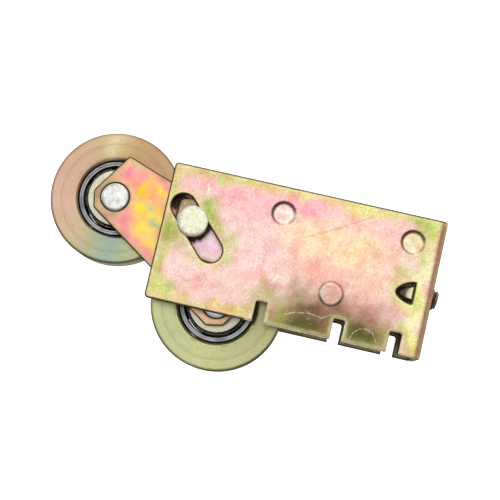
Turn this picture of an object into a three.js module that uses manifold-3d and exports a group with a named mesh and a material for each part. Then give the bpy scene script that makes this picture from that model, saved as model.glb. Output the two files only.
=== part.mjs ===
// Tandem sliding-door roller: a folded steel housing, a rocking truck with two grooved
// ball-bearing wheels, and a screw that pulls a yoke and so moves the truck's pivot pin
// along a slanted slot. Millimetres, +Z up. Origin: middle of the housing's open top.
// +X runs along the housing to the screw end, -Y is the front.
import * as THREE from 'three';
import { mergeVertices } from 'three/addons/utils/BufferGeometryUtils.js';
import Module from 'manifold-3d';

// Housing
const LENGTH = 79.2;
const HEIGHT = 39.5;
const WIDTH = 20;
const SHEET = 1.5;
const BEND = 2.2;
const CORNER = 1.1;

// Slanted slot and the pin in it
const SLOT_FROM = [4.98, 11.87];
const SLOT_TO = [15.2, 22.6];
const SLOT_RADIUS = 3.45;
const PIN_AT = [8.6, 15.75];
const PIN_RADIUS = 3.15;
const PIN_HEAD_RADIUS = 4.45;
const PIN_HEAD_THICK = 1.2;

// Truck
const TRUCK_TILT = 33.5;
const AXLE_HALF_PITCH = 21.25;
const AXLE_DROP = 11;
const TRUCK_INNER = 4.6;
const TRUCK_SHEET = 1.4;
const AXLE_RADIUS = 4;

// Wheels and bearings
const WHEEL_RADIUS = 19;
const WHEEL_HALF = 4.2;
const BEARING_RADIUS = 11;
const BEARING_HALF = 3.5;
const BALL_PITCH = 7.5;
const BALL_RADIUS = 1.95;
const BALL_COUNT = 7;

// Yoke, screw and nut
const NUT_AT = [75.5, 21.0];
const YOKE_OUTER = 7.65;
const YOKE_SHEET = 1.1;
const WEB_AT = 43.4;
const SCREW_RADIUS = 3;
const SCREW_TIP = 73;

const FIT = 0.1;
const RUNNING = 0.15;

const wasm = await Module();
wasm.setup();

// Positions on the housing are given as [distance from its left end, depth below its top].
const place = ([u, v]) => new THREE.Vector2(u - LENGTH / 2, -v);

function toSolid(geometry) {
  const bare = geometry.index ? geometry.toNonIndexed() : geometry.clone();
  bare.deleteAttribute('normal');
  bare.deleteAttribute('uv');
  const merged = mergeVertices(bare, 1e-4);
  return new wasm.Manifold(new wasm.Mesh({
    numProp: 3,
    vertProperties: Float32Array.from(merged.attributes.position.array),
    triVerts: Uint32Array.from(merged.index.array),
  }));
}

function toGeometry(solid) {
  const mesh = solid.getMesh();
  const geometry = new THREE.BufferGeometry();
  geometry.setAttribute('position', new THREE.BufferAttribute(mesh.vertProperties, 3));
  geometry.setIndex(new THREE.BufferAttribute(mesh.triVerts, 1));
  return geometry;
}

function carve(base, added, removed) {
  let solid = toSolid(base);
  for (const geometry of added) solid = solid.add(toSolid(geometry));
  for (const geometry of removed) solid = solid.subtract(toSolid(geometry));
  return toGeometry(solid);
}

// A flat shape drawn in X and Z, given thickness from y0 to y1.
function plate(shape, y0, y1, curve = 10) {
  const geometry = new THREE.ExtrudeGeometry(shape, {
    depth: y1 - y0,
    bevelEnabled: false,
    curveSegments: curve,
  });
  geometry.rotateX(Math.PI / 2);
  geometry.translate(0, y1, 0);
  return geometry;
}

// A turned shape about the Y axis from [radius, y] points.
function turned(points, segments = 48) {
  return new THREE.LatheGeometry(points.map(([r, y]) => new THREE.Vector2(r, y)), segments);
}

function rod(radius, y0, y1, segments = 32) {
  return turned([[0, y0], [radius, y0], [radius, y1], [0, y1]], segments);
}

function tube(inner, outer, y0, y1, segments = 48) {
  return turned([[inner, y0], [outer, y0], [outer, y1], [inner, y1], [inner, y0]], segments);
}

function at(geometry, x, z) {
  geometry.translate(x, 0, z);
  return geometry;
}

function block(x0, x1, y0, y1, z0, z1) {
  const geometry = new THREE.BoxGeometry(x1 - x0, y1 - y0, z1 - z0);
  geometry.translate((x0 + x1) / 2, (y0 + y1) / 2, (z0 + z1) / 2);
  return geometry;
}

function polygon(points) {
  return new THREE.Shape(points.map(([x, z]) => new THREE.Vector2(x, z)));
}

function stadium(from, to, radius) {
  const angle = Math.atan2(to.y - from.y, to.x - from.x);
  const shape = new THREE.Shape();
  shape.absarc(to.x, to.y, radius, angle - Math.PI / 2, angle + Math.PI / 2, false);
  shape.absarc(from.x, from.y, radius, angle + Math.PI / 2, angle + 1.5 * Math.PI, false);
  return shape;
}

const part = new THREE.Group();
part.name = 'sliding_door_roller';

function mesh(parent, name, geometry, color, roughness, metalness = 1) {
  const flat = geometry.index ? geometry.toNonIndexed() : geometry;
  flat.computeVertexNormals();
  const node = new THREE.Mesh(
    flat,
    new THREE.MeshStandardMaterial({ color, roughness, metalness }),
  );
  node.name = name;
  parent.add(node);
  return node;
}

const PLATED = '#c9a58c';
const BRIGHT = '#cfccc0';
const RACE = '#8b8d8f';

// Housing: front plate, end plate and rear plate in one folded strip
function foldedStrip(x0, x1, halfWidth, sheet, bend, z0, z1) {
  const inner = bend - sheet;
  const shape = new THREE.Shape();
  shape.moveTo(x0, -halfWidth);
  shape.lineTo(x1 - bend, -halfWidth);
  shape.absarc(x1 - bend, -halfWidth + bend, bend, -Math.PI / 2, 0, false);
  shape.lineTo(x1, halfWidth - bend);
  shape.absarc(x1 - bend, halfWidth - bend, bend, 0, Math.PI / 2, false);
  shape.lineTo(x0, halfWidth);
  shape.lineTo(x0, halfWidth - sheet);
  shape.lineTo(x1 - bend, halfWidth - sheet);
  shape.absarc(x1 - bend, halfWidth - bend, inner, Math.PI / 2, 0, true);
  shape.lineTo(x1 - sheet, -halfWidth + bend);
  shape.absarc(x1 - bend, -halfWidth + bend, inner, 0, -Math.PI / 2, true);
  shape.lineTo(x0, -halfWidth + sheet);
  shape.closePath();
  const geometry = new THREE.ExtrudeGeometry(shape, {
    depth: z1 - z0,
    bevelEnabled: false,
    curveSegments: 6,
  });
  geometry.translate(0, 0, z0);
  return geometry;
}

function cornerCut(u, v, towardU, towardV, radius) {
  const corner = place([u, v]);
  const centre = place([u + towardU * radius, v + towardV * radius]);
  const out = 1;
  const shape = new THREE.Shape();
  const points = [];
  for (let i = 0; i <= 6; i += 1) {
    const turn = (i / 6) * Math.PI / 2;
    points.push([
      centre.x - towardU * radius * Math.cos(turn),
      centre.y + towardV * radius * Math.sin(turn),
    ]);
  }
  points.push([centre.x, corner.y + towardV * out]);
  points.push([corner.x - towardU * out, corner.y + towardV * out]);
  points.push([corner.x - towardU * out, centre.y]);
  shape.setFromPoints(points.map(([x, z]) => new THREE.Vector2(x, z)));
  return plate(shape, -WIDTH, WIDTH);
}

function notch(u0, u1, v0) {
  const radius = 0.8;
  const low = place([u0, HEIGHT + 1]);
  const high = place([u1, v0]);
  const shape = new THREE.Shape();
  shape.moveTo(low.x, low.y);
  shape.lineTo(high.x, low.y);
  shape.lineTo(high.x, high.y - radius);
  shape.absarc(high.x - radius, high.y - radius, radius, 0, Math.PI / 2, false);
  shape.lineTo(low.x + radius, high.y);
  shape.absarc(low.x + radius, high.y - radius, radius, Math.PI / 2, Math.PI, false);
  shape.closePath();
  return plate(shape, -WIDTH, WIDTH, 4);
}

const NOTCHES = [[31.1, 34.45], [53.35, 56.7], [69.4, 72.95]];
const NOTCH_TOP = 33.4;
const DIMPLES = [[33.2, 7.75], [70.5, 7.75]];
const DIMPLE_RADIUS = 3.65;
const DIMPLE_DEPTH = 0.6;
const BUTTON_AT = [51.1, 27.1];
const BUTTON_RADIUS = 3.2;
const BUTTON_PROUD = 0.5;
const LANCE_TOP = [73.65, 18.8];
const LANCE_BOTTOM = [73.65, 24.8];
const LANCE_APEX = [68.75, 22.2];
const TAB_BEND = 40;
const END_HOLE_RADIUS = 4;
const END_HOLE_DROP = 21.2;

function lanceShape() {
  const top = place(LANCE_TOP);
  const bottom = place(LANCE_BOTTOM);
  const apex = place(LANCE_APEX);
  const shape = new THREE.Shape();
  shape.moveTo(bottom.x, bottom.y);
  shape.lineTo(top.x, top.y);
  shape.quadraticCurveTo(top.x - 3.2, top.y - 0.6, apex.x + 0.3, apex.y + 0.8);
  shape.quadraticCurveTo(apex.x - 0.3, apex.y, apex.x + 0.4, apex.y - 0.8);
  shape.quadraticCurveTo(bottom.x - 2.6, bottom.y + 0.1, bottom.x, bottom.y);
  return shape;
}

// The lanced tab: the cut-out's own metal, bent inward about its right edge.
function lancedTab(side) {
  const hinge = place(LANCE_TOP).x;
  const gap = 0.95;
  const tip = place(LANCE_APEX);
  const top = place(LANCE_TOP).y - gap;
  const bottom = place(LANCE_BOTTOM).y + gap;
  const shape = polygon([
    [hinge + 0.9, bottom],
    [hinge + 0.9, top],
    [hinge, top],
    [hinge - 1.9, top - 0.6],
    [tip.x + 0.7, tip.y + 0.4],
    [tip.x + 0.7, tip.y - 0.4],
    [hinge - 1.9, bottom + 0.35],
    [hinge, bottom],
  ]);
  const geometry = plate(shape, -SHEET / 2, SHEET / 2);
  geometry.translate(-hinge, 0, 0);
  geometry.rotateZ(side * THREE.MathUtils.degToRad(TAB_BEND));
  geometry.translate(hinge - 0.35, side * (WIDTH / 2 - SHEET / 2 - 0.15), 0);
  return geometry;
}

function housingGeometry() {
  const half = WIDTH / 2;
  const inner = half - SHEET;
  const added = [];
  const removed = [];
  removed.push(plate(stadium(place(SLOT_FROM), place(SLOT_TO), SLOT_RADIUS), -WIDTH, WIDTH, 14));
  removed.push(plate(lanceShape(), -WIDTH, WIDTH, 6));
  for (const [u0, u1] of NOTCHES) removed.push(notch(u0, u1, NOTCH_TOP));
  removed.push(cornerCut(0, 0, 1, 1, CORNER));
  removed.push(cornerCut(0, HEIGHT, 1, -1, CORNER));
  const hole = rod(END_HOLE_RADIUS, -SHEET * 2, SHEET * 2, 32);
  hole.rotateZ(Math.PI / 2);
  hole.translate(LENGTH / 2, 0, -END_HOLE_DROP);
  removed.push(hole);
  for (const side of [-1, 1]) {
    const face = (outerRadius, innerRadius, from, to) => {
      const low = side < 0 ? -to : from;
      const high = side < 0 ? -from : to;
      const first = side < 0 ? outerRadius : innerRadius;
      const last = side < 0 ? innerRadius : outerRadius;
      return turned([[0, low], [first, low], [last, high], [0, high]], 32);
    };
    for (const centre of DIMPLES) {
      const p = place(centre);
      const boss = face(DIMPLE_RADIUS - 0.35, DIMPLE_RADIUS - 0.8, inner - DIMPLE_DEPTH, inner + 0.2);
      const recess = face(DIMPLE_RADIUS, DIMPLE_RADIUS - 0.8, half - DIMPLE_DEPTH, half + 0.01);
      added.push(at(boss, p.x, p.y));
      removed.push(at(recess, p.x, p.y));
    }
    const b = place(BUTTON_AT);
    const button = face(BUTTON_RADIUS - 0.35, BUTTON_RADIUS, half - 0.2, half + BUTTON_PROUD);
    const hollow = face(BUTTON_RADIUS - 0.5, BUTTON_RADIUS - 0.3, inner - 0.01, inner + BUTTON_PROUD);
    added.push(at(button, b.x, b.y));
    removed.push(at(hollow, b.x, b.y));
  }
  const tabs = [lancedTab(-1), lancedTab(1)];
  const strip = foldedStrip(-LENGTH / 2, LENGTH / 2, half, SHEET, BEND, -HEIGHT, 0);
  const cut = carve(strip, added, removed);
  return carve(cut, tabs, []);
}

mesh(part, 'housing', housingGeometry(), PLATED, 0.35);

// Pivot pin, riveted over at the rear, with the rear washer its riveted end bears on
const pin = place(PIN_AT);
const pinGroup = new THREE.Group();
pinGroup.position.set(pin.x, 0, pin.y);
part.add(pinGroup);

function pinGeometry() {
  const face = WIDTH / 2 + 0.2;
  const head = face + PIN_HEAD_THICK;
  const tail = face + 1.2;
  return turned([
    [0, -head],
    [PIN_HEAD_RADIUS - 0.3, -head],
    [PIN_HEAD_RADIUS, -head + 0.3],
    [PIN_HEAD_RADIUS, -face],
    [PIN_RADIUS, -face],
    [PIN_RADIUS, tail],
    [PIN_RADIUS + 0.8, tail],
    [PIN_RADIUS + 0.5, tail + 0.6],
    [0, tail + 0.9],
  ], 40);
}

mesh(pinGroup, 'pivot_pin', pinGeometry(), '#e6e0cf', 0.3);
const rearWasher = tube(PIN_RADIUS + FIT, 5.2, WIDTH / 2 + 0.2, WIDTH / 2 + 1.05, 40);
mesh(pinGroup, 'pivot_washer', rearWasher, BRIGHT, 0.4);

// Rocking truck, drawn level about the pin and then tilted
const truck = new THREE.Group();
truck.rotation.y = THREE.MathUtils.degToRad(TRUCK_TILT);
pinGroup.add(truck);

const TRUCK_HALF = 27;
const TRUCK_BOTTOM = -17.5;
const TRUCK_SHOULDER = 0.25;
const TRUCK_TOP = 6.6;
const TRUCK_CHAMFER = 3.5;

function truckPlateGeometry(y0, y1) {
  const shape = polygon([
    [-TRUCK_HALF + TRUCK_CHAMFER, TRUCK_BOTTOM],
    [TRUCK_HALF - TRUCK_CHAMFER, TRUCK_BOTTOM],
    [TRUCK_HALF, TRUCK_BOTTOM + TRUCK_CHAMFER],
    [TRUCK_HALF, TRUCK_SHOULDER],
    [2.2, TRUCK_TOP],
    [-2.2, TRUCK_TOP],
    [-TRUCK_HALF, TRUCK_SHOULDER],
    [-TRUCK_HALF, TRUCK_BOTTOM + TRUCK_CHAMFER],
  ]);
  const holes = [rod(PIN_RADIUS + RUNNING, y0 - 1, y1 + 1, 40)];
  for (const side of [-1, 1]) {
    holes.push(at(rod(AXLE_RADIUS + FIT, y0 - 1, y1 + 1, 40), side * AXLE_HALF_PITCH, -AXLE_DROP));
  }
  return carve(plate(shape, y0, y1), [], holes);
}

const outerFace = TRUCK_INNER + TRUCK_SHEET;
mesh(truck, 'truck_plate_front', truckPlateGeometry(-outerFace, -TRUCK_INNER), '#d8a46e', 0.35);
mesh(truck, 'truck_plate_rear', truckPlateGeometry(TRUCK_INNER, outerFace), '#d8a46e', 0.35);
const bush = tube(PIN_RADIUS + RUNNING, 4.4, -TRUCK_INNER + 0.2, TRUCK_INNER - 0.2, 40);
mesh(truck, 'pivot_bush', bush, BRIGHT, 0.4);

function wheelGeometry() {
  const y = WHEEL_HALF;
  const bore = BEARING_RADIUS + FIT;
  return turned([
    [bore, -y + 0.5],
    [bore + 0.5, -y],
    [WHEEL_RADIUS - 0.4, -y],
    [WHEEL_RADIUS, -y + 0.4],
    [WHEEL_RADIUS, -y + 1.2],
    [WHEEL_RADIUS - 0.5, -y + 1.7],
    [15.9, -1.1],
    [15.6, 0],
    [15.9, 1.1],
    [WHEEL_RADIUS - 0.5, y - 1.7],
    [WHEEL_RADIUS, y - 1.2],
    [WHEEL_RADIUS, y - 0.4],
    [WHEEL_RADIUS - 0.4, y],
    [bore + 0.5, y],
    [bore, y - 0.5],
    [bore, -y + 0.5],
  ], 56);
}

function grooveArc(radial, steps = 6) {
  const reach = BALL_RADIUS + 0.12;
  const shoulder = radial > 0 ? 9.2 : 6.0;
  const half = Math.sqrt(reach ** 2 - (shoulder - BALL_PITCH) ** 2);
  const points = [];
  for (let i = 0; i <= steps; i += 1) {
    const y = -half + (2 * half * i) / steps;
    points.push([BALL_PITCH + radial * Math.sqrt(reach ** 2 - y ** 2), y]);
  }
  return points;
}

function outerRaceGeometry() {
  const y = BEARING_HALF;
  return turned([
    [BEARING_RADIUS - 0.3, -y],
    [BEARING_RADIUS, -y + 0.3],
    [BEARING_RADIUS, y - 0.3],
    [BEARING_RADIUS - 0.3, y],
    [9.6, y],
    [9.2, y - 0.5],
    ...grooveArc(1).reverse(),
    [9.2, -y + 0.5],
    [9.6, -y],
    [BEARING_RADIUS - 0.3, -y],
  ], 40);
}

function innerRaceGeometry() {
  const y = BEARING_HALF;
  return turned([
    [AXLE_RADIUS + FIT, -y],
    [6, -y],
    ...grooveArc(-1),
    [6, y],
    [AXLE_RADIUS + FIT, y],
    [AXLE_RADIUS + FIT, -y],
  ], 40);
}

// The ball cage: a band with a window for each ball, closed at the rear by a crown.
function cageGeometry() {
  const windows = [];
  for (let i = 0; i < BALL_COUNT; i += 1) {
    const window = rod(BALL_RADIUS + 0.12, 0, 12, 16);
    window.rotateX(Math.PI / 2);
    window.rotateY((i * 2 * Math.PI) / BALL_COUNT);
    windows.push(window);
  }
  const band = carve(tube(8.3, 8.8, -2.9, 2.9, 42), [], windows);
  return carve(band, [tube(6.35, 8.75, 2.15, 2.6, 42)], []);
}

function axleGeometry() {
  const end = outerFace + 0.3;
  return turned([
    [0, -end],
    [AXLE_RADIUS - 0.3, -end],
    [AXLE_RADIUS, -end + 0.3],
    [AXLE_RADIUS, end - 0.3],
    [AXLE_RADIUS - 0.3, end],
    [0, end],
  ], 40);
}

for (const [number, side] of [[1, -1], [2, 1]]) {
  const group = new THREE.Group();
  group.position.set(side * AXLE_HALF_PITCH, 0, -AXLE_DROP);
  truck.add(group);
  mesh(group, `wheel_${number}_rim`, wheelGeometry(), '#b59a6a', 0.35);
  mesh(group, `wheel_${number}_outer_race`, outerRaceGeometry(), RACE, 0.25);
  mesh(group, `wheel_${number}_inner_race`, innerRaceGeometry(), RACE, 0.25);
  mesh(group, `wheel_${number}_ball_cage`, cageGeometry(), '#9a978c', 0.4);
  mesh(group, `wheel_${number}_axle`, axleGeometry(), '#b9b6ab', 0.4);
  mesh(group, `wheel_${number}_washer_front`, tube(AXLE_RADIUS + FIT, 8, -4.35, -3.75), BRIGHT, 0.4);
  mesh(group, `wheel_${number}_washer_rear`, tube(AXLE_RADIUS + FIT, 8, 3.75, 4.35), BRIGHT, 0.4);
  for (let i = 0; i < BALL_COUNT; i += 1) {
    const angle = (i * 2 * Math.PI) / BALL_COUNT;
    const ball = new THREE.SphereGeometry(BALL_RADIUS, 12, 8);
    const node = mesh(group, `wheel_${number}_ball_${i + 1}`, ball, '#c8c9ca', 0.15);
    node.position.set(BALL_PITCH * Math.sin(angle), 0, BALL_PITCH * Math.cos(angle));
  }
}

// Yoke, screw and nut, drawn along X from the pin and then tilted to the nut
const nut = place(NUT_AT);
const link = new THREE.Group();
link.rotation.y = Math.atan2(pin.y - nut.y, nut.x - pin.x);
pinGroup.add(link);
const NUT_DISTANCE = Math.hypot(nut.x - pin.x, nut.y - pin.y);

function yokeGeometry() {
  const web = WEB_AT + YOKE_SHEET;
  const strip = toSolid(foldedStrip(-8, web, YOKE_OUTER, YOKE_SHEET, 1.7, -12, 12));
  const outline = toSolid(plate(polygon([
    [-5.4, -8.5],
    [-5.4, 5.4],
    [-4.6, 6.1],
    [2.5, 8.0],
    [8.5, 8.0],
    [19, 4.3],
    [web + 1, 4.3],
    [web + 1, -4.3],
    [22, -4.3],
    [11, -9.6],
    [-4.2, -9.6],
  ]), -12, 12));
  const bore = rod(PIN_RADIUS + RUNNING, -12, 12, 40);
  const neck = rod(2.35, 0, 12, 32);
  neck.rotateZ(-Math.PI / 2);
  neck.translate(WEB_AT - 4, 0, 0);
  const solid = strip.intersect(outline).subtract(toSolid(bore)).subtract(toSolid(neck));
  return toGeometry(solid);
}

function screwGeometry() {
  const web = WEB_AT + YOKE_SHEET;
  const tip = SCREW_TIP;
  const profile = [
    [0, WEB_AT - 1.6],
    [2.7, WEB_AT - 1.6],
    [2.9, WEB_AT - 1.1],
    [2.2, WEB_AT - 1.1],
    [2.2, web + 0.3],
    [SCREW_RADIUS, web + 0.3],
    [SCREW_RADIUS, tip - 0.5],
    [SCREW_RADIUS - 0.5, tip],
    [0, tip],
  ];
  const body = turned(profile, 40);
  body.rotateZ(-Math.PI / 2);
  const slot = block(tip - 1.5, tip + 1, -0.55, 0.55, -4, 4);
  return carve(body, [], [slot]);
}

function retainerGeometry() {
  const washer = tube(2.3, 3.7, WEB_AT - 0.9, WEB_AT - 0.25, 32);
  washer.rotateZ(-Math.PI / 2);
  return washer;
}

function nutGeometry() {
  const body = block(NUT_DISTANCE - 1.3, NUT_DISTANCE + 1.3, -8.2, 8.2, -4.3, 4.3);
  const bore = rod(SCREW_RADIUS + FIT, -4, 4, 40);
  bore.rotateZ(-Math.PI / 2);
  bore.translate(NUT_DISTANCE, 0, 0);
  return carve(body, [], [bore]);
}

mesh(link, 'yoke', yokeGeometry(), '#cdb3ad', 0.4);
mesh(link, 'adjusting_screw', screwGeometry(), '#b8b2a2', 0.35);
mesh(link, 'screw_retainer', retainerGeometry(), BRIGHT, 0.4);
mesh(link, 'captive_nut', nutGeometry(), '#c6b79a', 0.4);

export default part;
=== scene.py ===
"""Looks of the tandem sliding-door roller: plated sheet metal, turned wheels, bearings, screw.

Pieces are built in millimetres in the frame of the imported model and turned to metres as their
meshes are made. Positions on the housing are given as (u, v): the distance from its left end
and the depth below its top edge.
"""

import math

import bmesh
import bpy
import numpy as np
from mathutils import Matrix, Vector, noise
from mathutils.geometry import delaunay_2d_cdt


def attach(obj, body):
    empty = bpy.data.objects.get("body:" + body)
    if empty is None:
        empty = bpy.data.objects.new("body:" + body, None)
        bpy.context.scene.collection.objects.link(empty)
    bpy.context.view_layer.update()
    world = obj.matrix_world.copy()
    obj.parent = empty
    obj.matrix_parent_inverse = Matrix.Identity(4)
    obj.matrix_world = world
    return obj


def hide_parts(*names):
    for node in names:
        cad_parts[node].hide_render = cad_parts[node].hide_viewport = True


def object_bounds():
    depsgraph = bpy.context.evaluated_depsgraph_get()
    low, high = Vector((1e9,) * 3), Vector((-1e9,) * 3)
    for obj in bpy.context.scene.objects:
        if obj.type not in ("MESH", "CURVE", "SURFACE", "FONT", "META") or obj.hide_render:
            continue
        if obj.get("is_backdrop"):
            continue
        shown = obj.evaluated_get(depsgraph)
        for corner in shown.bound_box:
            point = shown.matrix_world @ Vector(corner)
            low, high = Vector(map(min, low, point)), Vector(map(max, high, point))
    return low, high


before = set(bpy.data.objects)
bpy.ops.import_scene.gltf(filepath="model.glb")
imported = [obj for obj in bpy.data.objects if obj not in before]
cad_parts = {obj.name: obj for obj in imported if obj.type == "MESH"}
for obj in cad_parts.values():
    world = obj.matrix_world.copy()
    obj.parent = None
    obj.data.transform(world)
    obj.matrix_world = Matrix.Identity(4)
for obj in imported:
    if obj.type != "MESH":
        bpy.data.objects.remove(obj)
cad_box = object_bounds()

MM = 0.001

# Housing
LENGTH = 79.2
HEIGHT = 39.5
WIDTH = 20.0
SHEET = 1.5
BEND = 2.2
CORNER = 1.1
SLOT = ((4.98, 11.87), (15.2, 22.6), 3.45)
NOTCHES = ((31.1, 34.45), (53.35, 56.7), (69.4, 72.95))
NOTCH_TOP = 33.4
DIMPLES = ((33.2, 7.75), (70.5, 7.75))
BUTTON = (51.1, 27.1)
LANCE_TOP = (73.65, 18.8)
LANCE_BOTTOM = (73.65, 24.8)
LANCE_APEX = (68.75, 22.2)
END_HOLE_DROP = 21.2
END_HOLE_RADIUS = 4.0

# Pin, truck and wheels
PIN = (8.6, 15.75)
PIN_RADIUS = 3.15
PIN_HEAD = 4.45
TRUCK_TILT = math.radians(33.5)
AXLE_HALF_PITCH = 21.25
AXLE_DROP = 11.0
TRUCK_INNER = 4.6
TRUCK_SHEET = 1.4
TRUCK_OUTER = TRUCK_INNER + TRUCK_SHEET
AXLE_RADIUS = 4.0
WHEEL_RADIUS = 19.0
WHEEL_HALF = 4.2
BEARING_RADIUS = 11.0
BEARING_HALF = 3.5
BALL_PITCH = 7.5
BALL_RADIUS = 1.95
BALL_COUNT = 7
RACE_SHOULDERS = {1: 9.2, -1: 6.0}
CAGE_RADIUS = 8.8
CAGE_MIDDLE = 8.55
CAGE_EDGE = 2.55
CAGE_LUG = 2.9
CAGE_WINDOW = (2.12, 2.07)
CROWN_INNER = 6.35
CROWN_OUTER = 9.1
CROWN_REAR = (2.15, 2.6)
SPACER_RADIUS = 8.0
SPACER_FACES = (3.75, 4.35)
STAKE_COUNT = 8
STAKE_SIZE = (1.9, 0.3, 0.75)
PIVOT_HOLE = PIN_RADIUS + 0.15

# Yoke, screw and nut
NUT = (75.5, 21.0)
YOKE_OUTER = 7.65
YOKE_SHEET = 1.1
YOKE_BEND = 1.7
YOKE_END = 5.4
WEB_AT = 43.4
WEB_OUT = WEB_AT + YOKE_SHEET
SCREW_RADIUS = 3.0
SCREW_TIP = 73.0
SCREW_PITCH = 1.0
THREAD_DEPTH = 0.58
NECK_RADIUS = 2.2
TAB_GAP = 0.95
TAB_BEND = math.radians(40)


def on_housing(u, v):
    """The (x, z) of a point given by its distance from the left end and its depth."""
    return u - LENGTH / 2, -v


pin_x, pin_z = on_housing(*PIN)
nut_x, nut_z = on_housing(*NUT)
link_angle = math.atan2(pin_z - nut_z, nut_x - pin_x)
at_pin = Matrix.Translation((pin_x, 0, pin_z))
truck_place = at_pin @ Matrix.Rotation(TRUCK_TILT, 4, "Y")
link_place = at_pin @ Matrix.Rotation(link_angle, 4, "Y")


def wheel_place(side):
    return truck_place @ Matrix.Translation((side * AXLE_HALF_PITCH, 0, -AXLE_DROP))


# ---------------------------------------------------------------------------------------------
# Colour helpers


def linear(r, g, b):
    """An sRGB colour in 0..255 as linear 0..1."""
    return to_linear(tone(r, g, b))


def tone(r, g, b):
    """A colour for painting with, in 0..1 as a screen shows it."""
    return np.array((r, g, b)) / 255


def to_linear(colour):
    colour = np.clip(colour, 0, 1)
    return np.where(colour <= 0.04045, colour / 12.92, ((colour + 0.055) / 1.055) ** 2.4)


def rgba(colour):
    return (*[float(c) for c in colour], 1.0)


def wander(a, b, scale, seed):
    """Smooth noise in -1..1 at each pair of coordinates."""
    return np.array([noise.noise(Vector((x / scale, y / scale, seed))) for x, y in zip(a, b)])


def paint_patches(u, v, base, patches, seed):
    """Soft patches of colour over a base: (u, v, half width, half height, colour, strength)."""
    wu = u + 2.6 * wander(u, v, 7.0, seed) + 1.9 * wander(u, v, 2.6, seed + 5)
    wv = v + 2.6 * wander(u, v, 7.0, seed + 11) + 1.9 * wander(u, v, 2.6, seed + 17)
    colour = np.tile(base, (len(u), 1))
    for cu, cv, ru, rv, tint, strength in patches:
        w = strength * np.exp(-(((wu - cu) / ru) ** 2) - ((wv - cv) / rv) ** 2)
        colour += (tint - colour) * w[:, None]
    return colour


# The cut edges' dark brown: partly the sheared steel's own colour and partly painted shade.
CUT_EDGE = tone(88, 72, 48)


def mix(colour, tint, weight):
    return colour + (tint - colour) * np.clip(weight, 0, 1)[:, None]


# ---------------------------------------------------------------------------------------------
# Mesh helpers


def make_object(name, points, faces, local, paint=None, place=None, sharp=38):
    """A mesh object in metres. local is each point in the piece's own axes, for its material."""
    mesh = bpy.data.meshes.new(name)
    pts = np.asarray(points, float)
    if place is not None:
        m = np.array(place)
        pts = pts @ m[:3, :3].T + m[:3, 3]
    mesh.from_pydata([tuple(p) for p in pts * MM], [], [tuple(int(i) for i in f) for f in faces])
    attr = mesh.attributes.new("local", "FLOAT_VECTOR", "POINT")
    attr.data.foreach_set("vector", np.asarray(local, np.float32).ravel())
    if paint is not None:
        layer = mesh.attributes.new("paint", "FLOAT_COLOR", "POINT")
        rgb = np.c_[to_linear(paint), np.ones(len(pts))]
        layer.data.foreach_set("color", rgb.astype(np.float32).ravel())
    mesh.validate()
    bm = bmesh.new()
    bm.from_mesh(mesh)
    bmesh.ops.remove_doubles(bm, verts=bm.verts, dist=1e-7)
    bmesh.ops.recalc_face_normals(bm, faces=bm.faces)
    bm.to_mesh(mesh)
    bm.free()
    for polygon in mesh.polygons:
        polygon.use_smooth = True
    mesh.set_sharp_from_angle(angle=math.radians(sharp))
    obj = bpy.data.objects.new(name, mesh)
    bpy.context.scene.collection.objects.link(obj)
    return obj


def lathe(name, profile, place, segments=128, paint=None, turn=None, closed=True):
    """A turned piece about its own Y axis from (radius, y) points; turn is an extra rotation."""
    prof = np.array(profile, float)
    angles = np.arange(segments) * 2 * math.pi / segments
    n = len(prof)
    points = []
    for a in angles:
        points.append(np.c_[prof[:, 0] * math.sin(a), prof[:, 1], prof[:, 0] * math.cos(a)])
    points = np.concatenate(points)
    faces = []
    last = n if closed else n - 1
    for i in range(segments):
        j = (i + 1) % segments
        for k in range(last):
            m = (k + 1) % n
            quad = [i * n + k, i * n + m, j * n + m, j * n + k]
            if prof[k, 0] < 1e-6 and prof[m, 0] < 1e-6:
                continue
            if prof[k, 0] < 1e-6:
                quad = [i * n + k, i * n + m, j * n + m]
            elif prof[m, 0] < 1e-6:
                quad = [i * n + k, i * n + m, j * n + k]
            faces.append(quad)
    colour = paint(points) if paint else None
    matrix = place if turn is None else place @ turn
    return make_object(name, points, faces, points, colour, matrix)


def rounded(profile, radius, steps=4):
    """The closed (r, y) profile with each corner that is not on the axis rounded off."""
    pts = [np.array(p, float) for p in profile]
    out = []
    n = len(pts)
    for i, p in enumerate(pts):
        a, b = pts[i - 1], pts[(i + 1) % n]
        if p[0] < 1e-6:
            out.append(p)
            continue
        da, db = a - p, b - p
        la, lb = np.linalg.norm(da), np.linalg.norm(db)
        r = min(radius, la * 0.45, lb * 0.45)
        if r < 1e-4 or abs(np.cross(da / la, db / lb)) < 0.1:
            out.append(p)
            continue
        start, end = p + da / la * r, p + db / lb * r
        for s in range(steps + 1):
            t = s / steps
            out.append((1 - t) ** 2 * start + 2 * t * (1 - t) * p + t**2 * end)
    return out


def ring_profile(inner, outer, y0, y1, corner):
    """The (r, y) section of a plain ring with rounded corners."""
    return rounded([(inner, y0), (outer, y0), (outer, y1), (inner, y1)], corner)


def arc_points(cx, cy, radius, start, end, steps):
    return [
        (cx + radius * math.cos(a), cy + radius * math.sin(a))
        for a in np.linspace(math.radians(start), math.radians(end), steps)
    ]


def circle_loop(cx, cy, radius, count):
    return [
        (cx + radius * math.cos(a), cy + radius * math.sin(a))
        for a in np.arange(count) * 2 * math.pi / count
    ]


def fillet_outline(points, radius, steps=4):
    """The closed 2-D outline with its corners rounded."""
    away = 1e3
    return [(x - away, y) for x, y in rounded([(x + away, y) for x, y in points], radius, steps)]


def resample(loop, step):
    """The closed loop with points no further apart than step."""
    out = []
    for i, a in enumerate(loop):
        b = loop[(i + 1) % len(loop)]
        length = math.dist(a, b)
        parts = max(1, math.ceil(length / step))
        for k in range(parts):
            t = k / parts
            out.append((a[0] + (b[0] - a[0]) * t, a[1] + (b[1] - a[1]) * t))
    return out


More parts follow.
